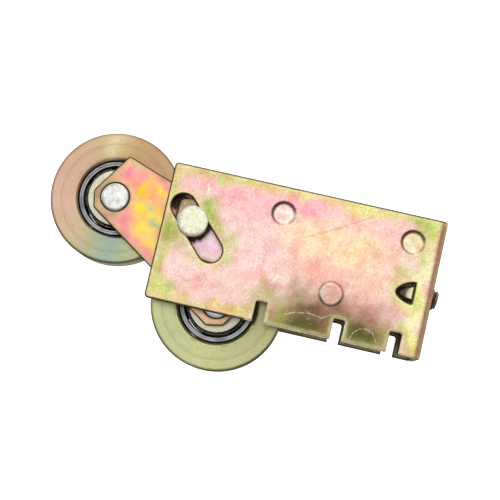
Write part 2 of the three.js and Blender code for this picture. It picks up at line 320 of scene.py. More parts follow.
def loop_distance(points, loops):
    """The distance of each point to the nearest outline."""
    best = np.full(len(points), 1e9)
    for loop in loops:
        a = np.array(loop)
        b = np.roll(a, -1, axis=0)
        for p, q in zip(a, b):
            d = q - p
            length2 = d @ d
            if length2 < 1e-12:
                continue
            t = np.clip(((points - p) @ d) / length2, 0, 1)
            gap = points - (p + t[:, None] * d)
            best = np.minimum(best, np.hypot(gap[:, 0], gap[:, 1]))
    return best


def inside(points, loop):
    """Which points are inside the closed loop."""
    x, y = points[:, 0], points[:, 1]
    hit = np.zeros(len(points), bool)
    a = np.array(loop)
    b = np.roll(a, -1, axis=0)
    for (x0, y0), (x1, y1) in zip(a, b):
        if y0 == y1:
            continue
        cross = (y0 > y) != (y1 > y)
        hit ^= cross & (x < (x1 - x0) * (y - y0) / (y1 - y0) + x0)
    return hit


def outside_holes(points, loops):
    """Which points are inside the first loop and in none of the others."""
    ok = inside(points, loops[0])
    for hole in loops[1:]:
        ok &= ~inside(points, hole)
    return ok


def beside_edges(loops, gaps):
    """Rows of points beside every outline, at each of the gaps and on both sides."""
    rows = []
    for loop in loops:
        a = np.array(loop)
        tangent = np.roll(a, -1, axis=0) - np.roll(a, 1, axis=0)
        tangent /= np.linalg.norm(tangent, axis=1)[:, None]
        normal = np.c_[-tangent[:, 1], tangent[:, 0]]
        rows += [(a + sign * d * normal, d) for d in gaps for sign in (1, -1)]
    return rows


def rings_about(centre, radii, count):
    """Circles of points about a centre, each turned half a step from the one inside it."""
    out = []
    for i, radius in enumerate(radii):
        many = max(8, int(count * radius / max(radii)))
        twist = (i % 2) * math.pi / many
        a = np.arange(many) * 2 * math.pi / many + twist
        out.append(np.c_[centre[0] + radius * np.cos(a), centre[1] + radius * np.sin(a)])
    return out + [np.array([centre])]


def scatter(outline, loops, spacing, roll_width, columns, extra):
    """The points of the sheet away from its outlines, each set at its own distance from them."""
    sets = beside_edges(loops, (0.08, 0.2, 0.36, roll_width))
    low, high = np.array(outline).min(0), np.array(outline).max(0)
    grid_p = np.arange(low[0] + spacing / 2, high[0], spacing)
    grid_q = np.arange(low[1] + spacing / 2, high[1], spacing)
    gp, gq = np.meshgrid(grid_p, grid_q)
    gp = gp + np.where(np.arange(gp.shape[0])[:, None] % 2, spacing / 4, -spacing / 4)
    sets.append((np.c_[gp.ravel(), gq.ravel()], roll_width + spacing * 0.45))
    for start, end, step in columns:
        cp, cq = np.meshgrid(np.arange(start, end, step), grid_q)
        sets.append((np.c_[cp.ravel(), cq.ravel()], 0.5))
    keep = []
    for pts, need in sets:
        pts = pts[outside_holes(pts, loops)]
        if len(pts):
            keep.append(pts[loop_distance(pts, loops) > need * 0.93])
    for centre, radii, _ in extra:
        near = [np.hypot(k[:, 0] - centre[0], k[:, 1] - centre[1]) for k in keep]
        keep = [k[r > max(radii) + 0.25] for k, r in zip(keep, near)]
    for centre, radii, count in extra:
        keep += rings_about(centre, radii, count)
    return keep


def triangulate(loops, keep):
    """The sheet's flat points and triangles, with every outline kept as edges."""
    border = [p for loop in loops for p in loop]
    edges = []
    for loop in loops:
        start, count = len(edges), len(loop)
        edges += [(start + i, start + (i + 1) % count) for i in range(count)]
    flat = np.array(border + [tuple(p) for k in keep for p in k])
    verts, _, tris, *_ = delaunay_2d_cdt([Vector(p) for p in flat], edges, [], 0, 1e-5, True)
    flat = np.array([(p.x, p.y) for p in verts])
    centres = np.array([flat[list(t)].mean(0) for t in tris])
    return flat, [t for t, good in zip(tris, outside_holes(centres, loops)) if good]


def free_edges(tris):
    """The directed edges that only one triangle has."""
    used = {(t[i], t[(i + 1) % 3]): True for t in tris for i in range(3)}
    return [(a, b) for (a, b) in used if (b, a) not in used]


def sheet_metal(
    name, outline, holes, fold, thickness, paint, place=None, spacing=0.8, extra=(), bump=None,
    roll=0.22, roll_width=0.55, edge_step=0.5, columns=(),
):
    """A piece cut from flat sheet and folded.

    outline and holes are loops in the flat (p, q) plane. fold(p, q, depth) gives (x, y, z),
    with depth 0 on the outer face. The outer face's edges are rolled over as a punch leaves
    them, the cut edge is painted dark brown, partly its own colour and partly painted shade,
    and bump(p, q) pushes the sheet inward.
    """
    loops = [resample(loop, edge_step) for loop in (outline, *holes)]
    flat, tris = triangulate(loops, scatter(outline, loops, spacing, roll_width, columns, extra))
    p, q = flat[:, 0], flat[:, 1]
    gap = loop_distance(flat, loops)
    push = bump(p, q) if bump else np.zeros(len(flat))
    top = push + roll * np.clip(1 - gap / roll_width, 0, 1) ** 2
    bottom = push + thickness - 0.06 * np.clip(1 - gap / 0.12, 0, 1)
    points = [fold(p, q, top), fold(p, q, bottom)]
    colours = [paint(p, q, gap, False), paint(p, q, gap, True)]
    rim = free_edges(tris)
    rim_points = sorted({i for edge in rim for i in edge})
    where = {i: k for k, i in enumerate(rim_points)}
    rp, rq = flat[rim_points].T
    top, bottom = top[rim_points], bottom[rim_points]
    cloud = 0.5 + 0.5 * wander(rp, rq, 2.5, 3.0)
    rows = (0.0, 0.3, 0.62, 1.0)
    for row in rows:
        points.append(fold(rp, rq, top + (bottom - top) * row))
        # The cut edge is painted dark brown, partly its own colour and partly painted shade.
        shade = (0.75 + 0.5 * cloud) * (0.85 if row < 0.5 else 1.1)
        colours.append(CUT_EDGE[None, :] * shade[:, None])
    n, m = len(flat), len(rim_points)
    faces = [tuple(t) for t in tris]
    faces += [(t[0] + n, t[2] + n, t[1] + n) for t in tris]
    for a, b in rim:
        ka, kb = where[a], where[b]
        for r in range(len(rows) - 1):
            s0, s1 = 2 * n + r * m, 2 * n + (r + 1) * m
            faces.append((s0 + kb, s0 + ka, s1 + ka, s1 + kb))
    points = np.concatenate(points)
    return make_object(name, points, faces, points, np.concatenate(colours), place, sharp=32)


def bend_columns(arm, arc, end, total):
    """Where the mesh of a folded strip needs fine columns: over each bend, as (p0, p1, step)."""
    over, step = 0.2, 0.25
    return (
        (arm - over, arm + arc + over, step), (arm + arc + end - over, total - arm + over, step)
    )


def folded_strip(x0, x1, half, sheet, bend, drop=True):
    """A fold function for a U of sheet whose open end is at x0, and its unfolded lengths."""
    mid = bend - sheet / 2
    arm = x1 - bend - x0
    arc = mid * math.pi / 2
    end = 2 * (half - bend)
    total = 2 * arm + 2 * arc + end

    def fold(p, q, depth):
        p = np.asarray(p, float)
        depth = np.broadcast_to(depth, p.shape)
        x = np.zeros_like(p)
        y = np.zeros_like(p)
        near = p <= arm
        x[near] = x0 + p[near]
        y[near] = -half + depth[near]
        turn1 = (p > arm) & (p <= arm + arc)
        a = (p[turn1] - arm) / mid
        r = bend - depth[turn1]
        x[turn1] = x1 - bend + r * np.sin(a)
        y[turn1] = -half + bend - r * np.cos(a)
        web = (p > arm + arc) & (p <= arm + arc + end)
        x[web] = x1 - depth[web]
        y[web] = -half + bend + (p[web] - arm - arc)
        turn2 = (p > arm + arc + end) & (p <= arm + 2 * arc + end)
        a = (p[turn2] - arm - arc - end) / mid
        r = bend - depth[turn2]
        x[turn2] = x1 - bend + r * np.cos(a)
        y[turn2] = half - bend + r * np.sin(a)
        far = p > arm + 2 * arc + end
        x[far] = x1 - bend - (p[far] - arm - 2 * arc - end)
        y[far] = half - depth[far]
        return np.c_[x, y, -q if drop else q]

    return fold, arm, arc, end, total


def rides(obj, body, slot, *nodes):
    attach(obj, body)
    if nodes:
        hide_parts(*nodes)
    return obj


# ---------------------------------------------------------------------------------------------
# Materials


class Nodes:
    """A small helper for building a material's node tree."""

    def __init__(self, name):
        self.material = bpy.data.materials.new(name)
        self.material.use_nodes = True
        self.tree = self.material.node_tree
        self.tree.nodes.clear()
        self.output = self.tree.nodes.new("ShaderNodeOutputMaterial")
        self.shader = self.tree.nodes.new("ShaderNodeBsdfPrincipled")
        self.tree.links.new(self.shader.outputs[0], self.output.inputs[0])

    def add(self, kind, **settings):
        node = self.tree.nodes.new(kind)
        for key, value in settings.items():
            setattr(node, key, value)
        return node

    def link(self, source, target):
        self.tree.links.new(source, target)

    def local(self):
        return self.add("ShaderNodeAttribute", attribute_name="local").outputs["Vector"]

    def noise(self, vector, scale, detail=3.0, rough=0.55, stretch=None):
        if stretch is not None:
            mapping = self.add("ShaderNodeMapping")
            mapping.inputs["Scale"].default_value = stretch
            self.link(vector, mapping.inputs["Vector"])
            vector = mapping.outputs["Vector"]
        node = self.add("ShaderNodeTexNoise")
        node.inputs["Scale"].default_value = scale
        node.inputs["Detail"].default_value = detail
        node.inputs["Roughness"].default_value = rough
        self.link(vector, node.inputs["Vector"])
        return node.outputs["Fac"]

    def rotated(self, vector, degrees):
        node = self.add("ShaderNodeVectorRotate", rotation_type="Y_AXIS")
        node.inputs["Angle"].default_value = math.radians(degrees)
        self.link(vector, node.inputs["Vector"])
        return node.outputs["Vector"]

    def vector(self, operation, a, b):
        node = self.add("ShaderNodeVectorMath", operation=operation)
        for value, socket in ((a, node.inputs[0]), (b, node.inputs[1])):
            if isinstance(value, tuple):
                socket.default_value = value
            else:
                self.link(value, socket)
        return node

    def stroke(self, place, start, end, width, strength):
        """How much each point of the housing's front is on a straight scratch."""
        (x0, z0), (x1, z1) = on_housing(*start), on_housing(*end)
        run = (x1 - x0, 0.0, z1 - z0)
        level = -WIDTH / 2
        offset = self.vector("SUBTRACT", place, (x0, level, z0)).outputs[0]
        part = self.vector("DOT_PRODUCT", offset, run).outputs["Value"]
        part = self.level(part, 0.0, run[0] ** 2 + run[2] ** 2)
        scaled = self.add("ShaderNodeVectorMath", operation="SCALE")
        scaled.inputs[0].default_value = run
        self.link(part, scaled.inputs["Scale"])
        gap = self.vector("DISTANCE", offset, scaled.outputs[0]).outputs["Value"]
        return self.level(gap, width / 2, width, strength, 0.0)

    def ramp(self, value, stops):
        node = self.add("ShaderNodeValToRGB")
        elements = node.color_ramp.elements
        while len(elements) < len(stops):
            elements.new(0.5)
        for element, (position, colour) in zip(elements, stops):
            element.position = position
            element.color = colour if len(colour) == 4 else (*colour, 1.0)
        self.link(value, node.inputs["Fac"])
        return node.outputs["Color"]

    def level(self, value, low, high, out_low=0.0, out_high=1.0):
        node = self.add("ShaderNodeMapRange")
        node.inputs["From Min"].default_value = low
        node.inputs["From Max"].default_value = high
        node.inputs["To Min"].default_value = out_low
        node.inputs["To Max"].default_value = out_high
        self.link(value, node.inputs["Value"])
        return node.outputs["Result"]

    def mix(self, factor, a, b, mode="MIX"):
        node = self.add("ShaderNodeMix", data_type="RGBA", blend_type=mode)
        for value, socket in ((factor, node.inputs[0]), (a, node.inputs[6]), (b, node.inputs[7])):
            if isinstance(value, (int, float)):
                socket.default_value = value
            elif isinstance(value, (tuple, list, np.ndarray)):
                socket.default_value = rgba(value[:3])
            else:
                self.link(value, socket)
        return node.outputs[2]

    def math(self, operation, a, b=0.0):
        node = self.add("ShaderNodeMath", operation=operation)
        for value, socket in ((a, node.inputs[0]), (b, node.inputs[1])):
            if isinstance(value, (int, float)):
                socket.default_value = value
            else:
                self.link(value, socket)
        return node.outputs[0]

    def bump(self, height, strength, distance):
        node = self.add("ShaderNodeBump")
        node.inputs["Strength"].default_value = strength
        node.inputs["Distance"].default_value = distance * MM
        self.link(height, node.inputs["Height"])
        self.link(node.outputs["Normal"], self.shader.inputs["Normal"])

    def finish(self, colour, roughness, metallic, coat=0.0, coat_rough=0.2):
        self.link(colour, self.shader.inputs["Base Color"])
        if isinstance(roughness, (int, float)):
            self.shader.inputs["Roughness"].default_value = roughness
        else:
            self.link(roughness, self.shader.inputs["Roughness"])
        self.shader.inputs["Metallic"].default_value = metallic
        self.shader.inputs["Coat Weight"].default_value = coat
        self.shader.inputs["Coat Roughness"].default_value = coat_rough
        return self.material


def plated_sheet(name, mottling=1.0, roughness=0.36, strokes=()):
    """Yellow zinc plate over sheet: the piece's painted tint, mottled, with specks and scratches.

    The painted tint holds painted shade and highlights as well as the plating's own colours.
    """
    n = Nodes(name)
    place = n.local()
    tint = n.add("ShaderNodeAttribute", attribute_name="paint").outputs["Color"]
    cloud = n.noise(place, 0.30, 4.0, 0.6)
    grain = n.noise(place, 1.5, 4.0, 0.7)
    warm = n.mix(n.level(cloud, 0.5, 0.68, 0, 0.30 * mottling), tint, linear(250, 226, 170),
                 "MULTIPLY")
    pink = n.mix(n.level(n.noise(place, 0.24, 5.0, 0.6), 0.46, 0.62, 0, 0.6 * mottling), warm,
                 linear(255, 212, 220), "MULTIPLY")
    light = n.mix(n.level(grain, 0.5, 0.72, 0, 0.9 * mottling), pink, (1.32, 1.34, 1.3),
                  "MULTIPLY")
    dark = n.mix(n.level(grain, 0.48, 0.28, 0, 0.30 * mottling), light, linear(140, 104, 78),
                 "MULTIPLY")
    speck_noise = n.add("ShaderNodeTexVoronoi", feature="F1")
    speck_noise.inputs["Scale"].default_value = 0.42
    speck_noise.inputs["Randomness"].default_value = 1.0
    n.link(place, speck_noise.inputs["Vector"])
    speck = n.level(speck_noise.outputs["Distance"], 0.06, 0.13, 1.0, 0.0)
    rare = n.level(n.noise(place, 0.5, 2.0), 0.52, 0.60)
    specks = n.mix(n.math("MULTIPLY", speck, n.math("MULTIPLY", rare, 0.6)), dark,
                   linear(96, 60, 44))
    scratch_1 = n.level(n.noise(place, 1.0, 2.0, 0.5, stretch=(0.22, 1.0, 4.6)), 0.672, 0.69)
    scratch_2 = n.level(
        n.noise(n.rotated(place, 52), 1.0, 2.0, 0.5, stretch=(0.16, 1.0, 4.2)), 0.67, 0.69)
    both = n.math("MAXIMUM", scratch_1, scratch_2)
    patchy = n.level(n.noise(place, 0.13, 1.0), 0.5, 0.6, 0, 0.5)
    colour = n.mix(n.math("MULTIPLY", both, patchy), specks, linear(255, 250, 240))
    worn = n.level(n.noise(place, 1.1, 3.0), 0.36, 0.56, 0.15, 1.0) if strokes else None
    for path, width, shade, strength in strokes:
        for start, end in zip(path, path[1:]):
            line = n.math("MULTIPLY", n.stroke(place, start, end, width, strength), worn)
            colour = n.mix(line, colour, shade)
    rough = n.level(cloud, 0.3, 0.7, roughness - 0.08, roughness + 0.1)
    n.bump(n.math("ADD", n.math("MULTIPLY", grain, 0.6), n.math("MULTIPLY", both, 0.5)), 0.3, 0.05)
    return n.finish(colour, rough, 0.85)


def turned_metal(name, tones, roughness, metallic=0.9, rings=1.0, painted=False, mark=0.5):
    """Turned steel: fine rings about the axis over blotches of the tones given."""
    n = Nodes(name)
    place = n.local()
    split = n.add("ShaderNodeSeparateXYZ")
    n.link(place, split.inputs[0])
    x, y, z = split.outputs
    radius = n.math("SQRT", n.math("ADD", n.math("MULTIPLY", x, x), n.math("MULTIPLY", z, z)))
    across = n.add("ShaderNodeCombineXYZ")
    n.link(radius, across.inputs[0])
    n.link(y, across.inputs[1])
    fine = n.noise(across.outputs[0], 5.0, 4.0, 0.7)
    broad = n.noise(across.outputs[0], 0.9, 3.0, 0.6)
    cloud = n.noise(place, 0.22, 4.0, 0.6)
    if painted:
        base = n.add("ShaderNodeAttribute", attribute_name="paint").outputs["Color"]
        base = n.mix(n.level(cloud, 0.4, 0.65, 0, 0.35), base, tones[0], "MULTIPLY")
    else:
        base = n.ramp(cloud, [(at, rgba(t)) for at, t in zip((0.32, 0.5, 0.68), tones)])
    ringed = n.mix(n.level(fine, 0.35, 0.65, 0, mark * rings), base, linear(255, 250, 232),
                   "SOFT_LIGHT")
    ringed = n.mix(n.level(fine, 0.5, 0.3, 0, mark * 0.8 * rings), ringed, linear(150, 132, 96),
                   "MULTIPLY")
    ringed = n.mix(n.level(broad, 0.55, 0.72, 0, 0.16 * rings), ringed, linear(176, 158, 120),
                   "MULTIPLY")
    grime = n.noise(place, 1.6, 4.0, 0.7)
    dirty = n.mix(n.level(grime, 0.58, 0.7, 0, 0.35), ringed, linear(92, 74, 48), "MULTIPLY")
    rough = n.level(broad, 0.3, 0.7, roughness - 0.06, roughness + 0.1)
    n.bump(fine, 0.25 * rings, 0.03)
    return n.finish(dirty, rough, metallic)


def mottled_metal(name, tones, scale, roughness, metallic, bump=0.3, depth=0.06, speck=0.0):
    """Plain plated or worn steel in blotches of the tones given."""
    n = Nodes(name)
    place = n.local()
    cloud = n.noise(place, scale, 5.0, 0.65)
    stops = [(0.34 + 0.32 * i / (len(tones) - 1), rgba(t)) for i, t in enumerate(tones)]
    colour = n.ramp(cloud, stops)
    grain = n.noise(place, scale * 5, 4.0, 0.7)
    colour = n.mix(n.level(grain, 0.5, 0.32, 0, 0.15), colour, linear(120, 110, 92), "MULTIPLY")
    if speck:
        dots = n.add("ShaderNodeTexVoronoi", feature="F1")
        dots.inputs["Scale"].default_value = 1.1
        n.link(place, dots.inputs["Vector"])
        spots = n.level(dots.outputs["Distance"], 0.12, 0.2, speck, 0.0)
        colour = n.mix(spots, colour, linear(70, 58, 44))
    rough = n.level(grain, 0.3, 0.7, roughness - 0.07, roughness + 0.1)
    n.bump(n.math("ADD", cloud, n.math("MULTIPLY", grain, 0.5)), bump, depth)
    return n.finish(colour, rough, metallic)


WHITE_MARK = linear(255, 250, 240)
SCRATCHES = (
    (((10.6, 4.4), (11.0, 5.6), (11.0, 7.0)), 0.30, WHITE_MARK, 0.7),
    (((8.1, 4.0), (7.8, 5.6)), 0.22, WHITE_MARK, 0.5),
    (((35.6, 25.4), (34.4, 27.2)), 0.36, WHITE_MARK, 0.85),
    (((40.6, 8.6), (41.5, 10.0)), 0.30, WHITE_MARK, 0.7),
    (((56.2, 22.6), (55.9, 24.6), (55.0, 26.4)), 0.20, WHITE_MARK, 0.6),
    (((41.0, 13.0), (50.4, 7.8), (58.8, 2.6)), 0.24, linear(206, 142, 120), 0.6),
    (((58.8, 38.2), (59.4, 36.4), (60.8, 35.0), (62.8, 34.5), (64.8, 35.3), (66.2, 37.4)), 0.22,
     linear(206, 208, 168), 0.6),
    (((39.6, 35.6), (42.2, 34.4), (46.0, 33.8), (50.2, 34.2), (52.4, 32.8)), 0.22,
     linear(226, 214, 190), 0.55),
    (((26.6, 30.2), (30.4, 30.8), (33.0, 33.0)), 0.18, linear(238, 226, 196), 0.5),
)

plate_look = plated_sheet("plated_housing", strokes=SCRATCHES)
truck_look = plated_sheet("plated_truck", 0.45)
yoke_look = plated_sheet("plated_yoke", 0.7, 0.42)
wheel_look = turned_metal(
    "turned_wheel", (linear(248, 232, 206),) * 3, 0.34, 0.85, painted=True, mark=0.35)
race_look = turned_metal(
    "ground_race", (linear(120, 122, 126), linear(150, 152, 154), linear(176, 176, 174)),
    0.26, 1.0, 0.5, mark=0.3,
)
# Painted shade: the balls, and the cage crown that shares this material, are dark olive for the
# shade inside the bearing.
ball_look = mottled_metal(
    "ball_in_painted_shade", (linear(48, 44, 28), linear(72, 66, 44), linear(100, 94, 70)),
    0.8, 0.24, 1.0, 0.1,
)
cage_look = mottled_metal(
    "pressed_cage", (linear(50, 48, 42), linear(88, 86, 76), linear(126, 124, 114)),
    1.2, 0.5, 0.9, 0.2,
)
pin_look = mottled_metal(
    "zinc_pin", (linear(206, 206, 176), linear(232, 232, 206), linear(248, 247, 228)),
    0.7, 0.32, 0.9, 0.12, 0.05, 0.12,
)
axle_look = mottled_metal(
    "zinc_axle", (linear(196, 195, 192), linear(228, 227, 225), linear(246, 246, 244)),
    0.5, 0.32, 0.92, 0.18, 0.08, 0.2,
)
washer_look = turned_metal(
    "pale_washer", (linear(222, 214, 180), linear(238, 232, 206), linear(246, 243, 228)),
    0.42, 0.6, 0.5,
)
screw_look = mottled_metal(
    "plated_screw", (linear(110, 92, 62), linear(146, 130, 96), linear(180, 168, 138)),
    0.7, 0.34, 0.9, 0.3, 0.05,
)
nut_look = mottled_metal(
    "plated_nut", (linear(150, 120, 80), linear(190, 164, 112), linear(212, 184, 160)),
    0.4, 0.38, 0.85, 0.3, 0.06,
)


def dress(obj, material):
    obj.data.materials.clear()
    obj.data.materials.append(material)
    return obj


# ---------------------------------------------------------------------------------------------
# Housing

PINK = tone(246, 212, 206)
ROSE = tone(250, 186, 190)
PEACH = tone(248, 214, 178)
SAND = tone(247, 228, 178)
LIME = tone(222, 232, 132)
GREEN = tone(158, 190, 82)
OLIVE = tone(88, 88, 40)

house_fold, house_arm, house_arc, house_end, house_total = folded_strip(
    -LENGTH / 2, LENGTH / 2, WIDTH / 2, SHEET, BEND
)

FRONT_PATCHES = (
    (40.0, 0.8, 40.0, 2.2, LIME, 0.75),
    (53.0, 1.6, 17.0, 2.0, tone(236, 232, 150), 0.8),
    (70.0, 1.6, 6.0, 2.4, GREEN, 0.7),
    (15.0, 1.2, 14.0, 1.8, tone(196, 204, 112), 0.8),
    (6.0, 4.8, 4.0, 2.0, ROSE, 0.95),
    (14.0, 5.5, 7.0, 2.6, ROSE, 0.85),
    (27.0, 5.0, 8.0, 2.6, ROSE, 0.75),
    (41.0, 4.2, 7.0, 2.6, tone(252, 176, 196), 0.85),
    (60.0, 4.6, 7.0, 2.0, ROSE, 0.55),
    (46.0, 10.5, 10.0, 4.0, PEACH, 0.8),
    (56.0, 14.0, 13.0, 5.0, SAND, 0.95),
    (41.0, 15.0, 8.0, 4.0, SAND, 0.6),
    (64.0, 15.5, 4.0, 3.0, ROSE, 0.4),
    (62.0, 22.0, 9.0, 4.5, PEACH, 0.6),
    (47.0, 22.0, 9.0, 3.6, tone(244, 184, 160), 0.7),
    (71.0, 27.5, 3.6, 3.6, tone(238, 188, 182), 0.75),
    (7.0, 29.5, 6.0, 3.6, tone(250, 222, 218), 0.8),
    (17.0, 32.5, 8.0, 4.0, tone(244, 196, 190), 0.65),
    (27.0, 29.0, 6.0, 4.0, tone(248, 218, 200), 0.6),
    (52.0, 32.4, 13.0, 4.4, tone(150, 118, 92), 0.9),
    (44.0, 29.0, 5.0, 3.0, tone(172, 146, 116), 0.7),
    (60.0, 29.5, 7.0, 3.6, tone(196, 146, 130), 0.8),
    (47.0, 34.4, 9.0, 2.0, tone(120, 92, 66), 0.85),
    (45.0, 37.6, 9.0, 2.8, OLIVE, 0.95),
    (60.0, 34.6, 5.0, 2.6, tone(96, 92, 44), 0.85),
    (62.5, 37.6, 6.0, 2.4, OLIVE, 0.95),
    (67.0, 34.6, 2.6, 2.4, tone(150, 164, 74), 0.7),
    (38.4, 35.4, 2.0, 3.2, tone(158, 184, 72), 0.85),
    (33.0, 31.0, 4.0, 2.0, tone(178, 184, 104), 0.6),
    (26.0, 37.6, 7.0, 2.0, tone(224, 216, 110), 0.85),
    (14.0, 38.2, 10.0, 1.4, tone(226, 214, 120), 0.7),
    (3.5, 36.4, 4.4, 2.2, LIME, 0.9),
    (6.2, 35.0, 1.6, 1.6, GREEN, 0.7),
    (1.0, 30.0, 1.6, 8.0, tone(190, 196, 92), 0.8),
    (2.4, 19.2, 3.0, 4.2, tone(146, 176, 62), 0.95),
    (1.0, 9.0, 2.0, 6.0, tone(196, 204, 112), 0.8),
    (5.4, 22.0, 3.0, 2.6, tone(184, 186, 112), 0.7),
    (13.0, 12.0, 2.4, 3.4, GREEN, 0.9),
    (15.5, 16.5, 2.2, 3.0, tone(176, 202, 106), 0.8),
    (19.6, 21.6, 2.0, 3.0, tone(196, 208, 130), 0.75),
    (14.0, 25.8, 5.0, 1.6, tone(222, 208, 158), 0.6),
    (75.0, 3.6, 2.8, 3.2, tone(186, 210, 92), 0.85),
    (74.6, 10.4, 2.4, 3.6, tone(186, 206, 96), 0.8),
    (76.0, 22.0, 2.0, 17.0, tone(252, 252, 200), 0.95),
    (54.0, 37.6, 17.0, 2.6, tone(108, 100, 58), 0.9),
    (47.0, 33.0, 8.0, 2.2, tone(128, 98, 74), 0.8),
    (56.0, 31.6, 7.0, 2.2, tone(140, 112, 86), 0.6),
    (39.6, 31.0, 4.0, 3.0, tone(168, 152, 104), 0.7),
    (45.0, 37.6, 4.0, 1.8, tone(86, 84, 40), 0.9),
    (61.0, 37.4, 4.0, 1.8, tone(86, 90, 40), 0.9),
    (70.6, 17.4, 3.0, 1.8, tone(190, 202, 112), 0.8),
    (75.0, 22.5, 2.2, 4.0, LIME, 0.85),
    (68.0, 22.0, 1.6, 2.6, tone(192, 198, 112), 0.7),
    (71.5, 25.6, 2.6, 1.2, LIME, 0.7),
    (76.2, 36.0, 2.0, 4.0, tone(240, 242, 150), 0.9),
    (73.6, 33.0, 1.8, 2.6, GREEN, 0.6),
)

BACK_PATCHES = (
    (20.0, 8.0, 16.0, 4.0, ROSE, 0.6),
    (50.0, 12.0, 14.0, 6.0, SAND, 0.7),
    (30.0, 26.0, 14.0, 7.0, PINK, 0.6),
    (62.0, 28.0, 10.0, 6.0, tone(210, 166, 150), 0.6),
    (8.0, 34.0, 8.0, 4.0, LIME, 0.6),
    (72.0, 6.0, 6.0, 5.0, GREEN, 0.6),
    (44.0, 37.0, 18.0, 2.4, tone(190, 186, 90), 0.7),
    (3.0, 14.0, 3.0, 8.0, GREEN, 0.6),
    (40.0, 1.0, 30.0, 1.6, LIME, 0.6),
)

END_PATCHES = (
    (10.0, 6.0, 9.0, 5.0, tone(214, 186, 116), 0.7),
    (6.0, 20.0, 5.0, 9.0, tone(196, 168, 112), 0.6),
    (14.0, 32.0, 7.0, 6.0, tone(206, 214, 120), 0.6),
    (10.0, 26.0, 6.0, 5.0, PINK, 0.5),
)


def edge_tint(colour, p, q, gap, seed, band=0.9, fringe=0.55, highlight=0.0):
    """The plating's yellow-green fringe, a painted highlight line and a dark line by each cut
    edge.

    With highlight, the dark line gives way to a painted highlight.
    """
    ragged = gap + 0.6 * wander(p, q, 3.0, seed) + 0.25 * wander(p, q, 1.0, seed + 2)
    near = np.exp(-np.clip(ragged, 0, None) / band)
    hue = 0.5 + 0.5 * wander(p, q, 9.0, seed + 7)
    rim = LIME[None, :] + (tone(214, 200, 120) - LIME)[None, :] * hue[:, None]
    colour = colour + (rim - colour) * np.clip(near * fringe * 1.3, 0, fringe)[:, None]
    # Painted highlight: a pale line a little way in from each edge.
    colour = mix(colour, tone(244, 240, 196), 0.4 * np.exp(-(((gap - 0.62) / 0.16) ** 2)))
    colour = mix(colour, tone(74, 58, 34), (1 - highlight) * np.clip((0.5 - gap) / 0.32, 0, 1))
    # highlight swaps the dark edge line for a painted highlight.
    return mix(colour, tone(252, 246, 214), highlight * np.clip((0.55 - gap) / 0.3, 0, 0.95))


def line_at(r, radius, width):
    """A soft line of the width given along a circle."""
    return np.exp(-(((r - radius) / width) ** 2))


def dimple_paint(colour, p, q, r, along, down, greenish):
    """A pale floor, and a wall in painted shade, darkest at its upper left, with a painted
    highlight at its lower right.
    """
    pale, blush = tone(255, 250, 240), tone(240, 214, 206)
    blotch = np.clip(0.5 + 0.9 * wander(p, q, 1.6, 7.0), 0, 1)
    tint = pale + (blush - pale) * blotch[:, None]
    if greenish:
        tint = tint * tone(246, 255, 214)
    # Painted light: lit rises towards the lower right, where the wall gets a painted highlight,
    # and falls towards the upper left, where it gets painted shade.
    lit = (along + 1.6 * down) / (1.9 * np.maximum(r, 0.1))
    wall = line_at(r, 3.2, 0.36)
    colour = mix(colour, tint, 0.9 * np.clip((2.9 - r) / 0.4, 0, 1))
    colour = mix(colour, tone(84, 48, 36), wall * np.clip(0.35 - 0.7 * lit, 0, 0.85))
    return mix(colour, tone(252, 236, 214), 0.5 * wall * np.clip(lit, 0, 1))


def button_paint(colour, r):
    """A pink top inside a ring of painted highlight, and a foot in painted shade."""
    colour = mix(colour, tone(230, 186, 172), 0.8 * np.clip((2.9 - r) / 0.4, 0, 1))
    # Painted highlight: a pale ring round the button's edge.
    colour = mix(colour, tone(255, 248, 236), 0.75 * line_at(r, 2.95, 0.22))
    # Painted shade: a dark ring round the button's foot.
    return mix(colour, tone(110, 70, 52), 0.45 * line_at(r, 3.45, 0.2))


def housing_paint(p, q, gap, back):
    first = house_arm + house_arc
    second = first + house_end
    front = p < first
    rear = p > second
    u_rear = house_total - p
    colour = paint_patches(p, q, PINK, FRONT_PATCHES, 1.0)
    colour[rear] = paint_patches(u_rear, q, PINK, BACK_PATCHES, 31.0)[rear]
    middle = ~front & ~rear
    end_colour = paint_patches(p - house_arm, q, tone(208, 176, 128), END_PATCHES, 57.0)
    colour[middle] = end_colour[middle]
    for bend_at in (house_arm + house_arc * 0.62, second + house_arc * 0.38):
        strip = np.exp(-(((p - bend_at) / 1.1) ** 2))
        colour = mix(colour, tone(186, 140, 96), 0.9 * strip)
    # Painted shade: the inner faces are darkened to a dark brown.
    if back:
        colour = colour * 0.30 + tone(92, 70, 44) * 0.35
    for (du, dv), inward in [(d, True) for d in DIMPLES] + [(BUTTON, False)]:
        along, down = np.where(rear, u_rear, p) - du, q - dv
        r = np.hypot(along, down)
        if inward:
            colour = dimple_paint(colour, p, q, r, along, down, du > LENGTH / 2)
        else:
            colour = button_paint(colour, r)
    # Painted highlight: along the front's lower edges beyond u = 28 mm the edge line is pale.
    lower = smooth((q - 32.4) / 0.8) * smooth((p - 28.0) / 2.0) * front
    return edge_tint(colour, p, q, gap, 71.0, highlight=lower)


def stadium_loop(start, end, radius, steps=16):
    angle = math.degrees(math.atan2(end[1] - start[1], end[0] - start[0]))
    loop = arc_points(end[0], end[1], radius, angle - 90, angle + 90, steps)
    return loop + arc_points(start[0], start[1], radius, angle + 90, angle + 270, steps)


def curve(a, control, b, steps=6):
    return [
        tuple(
            (1 - t) ** 2 * np.array(a) + 2 * t * (1 - t) * np.array(control) + t**2 * np.array(b)
        )
        for t in np.linspace(0, 1, steps, endpoint=False)
    ]


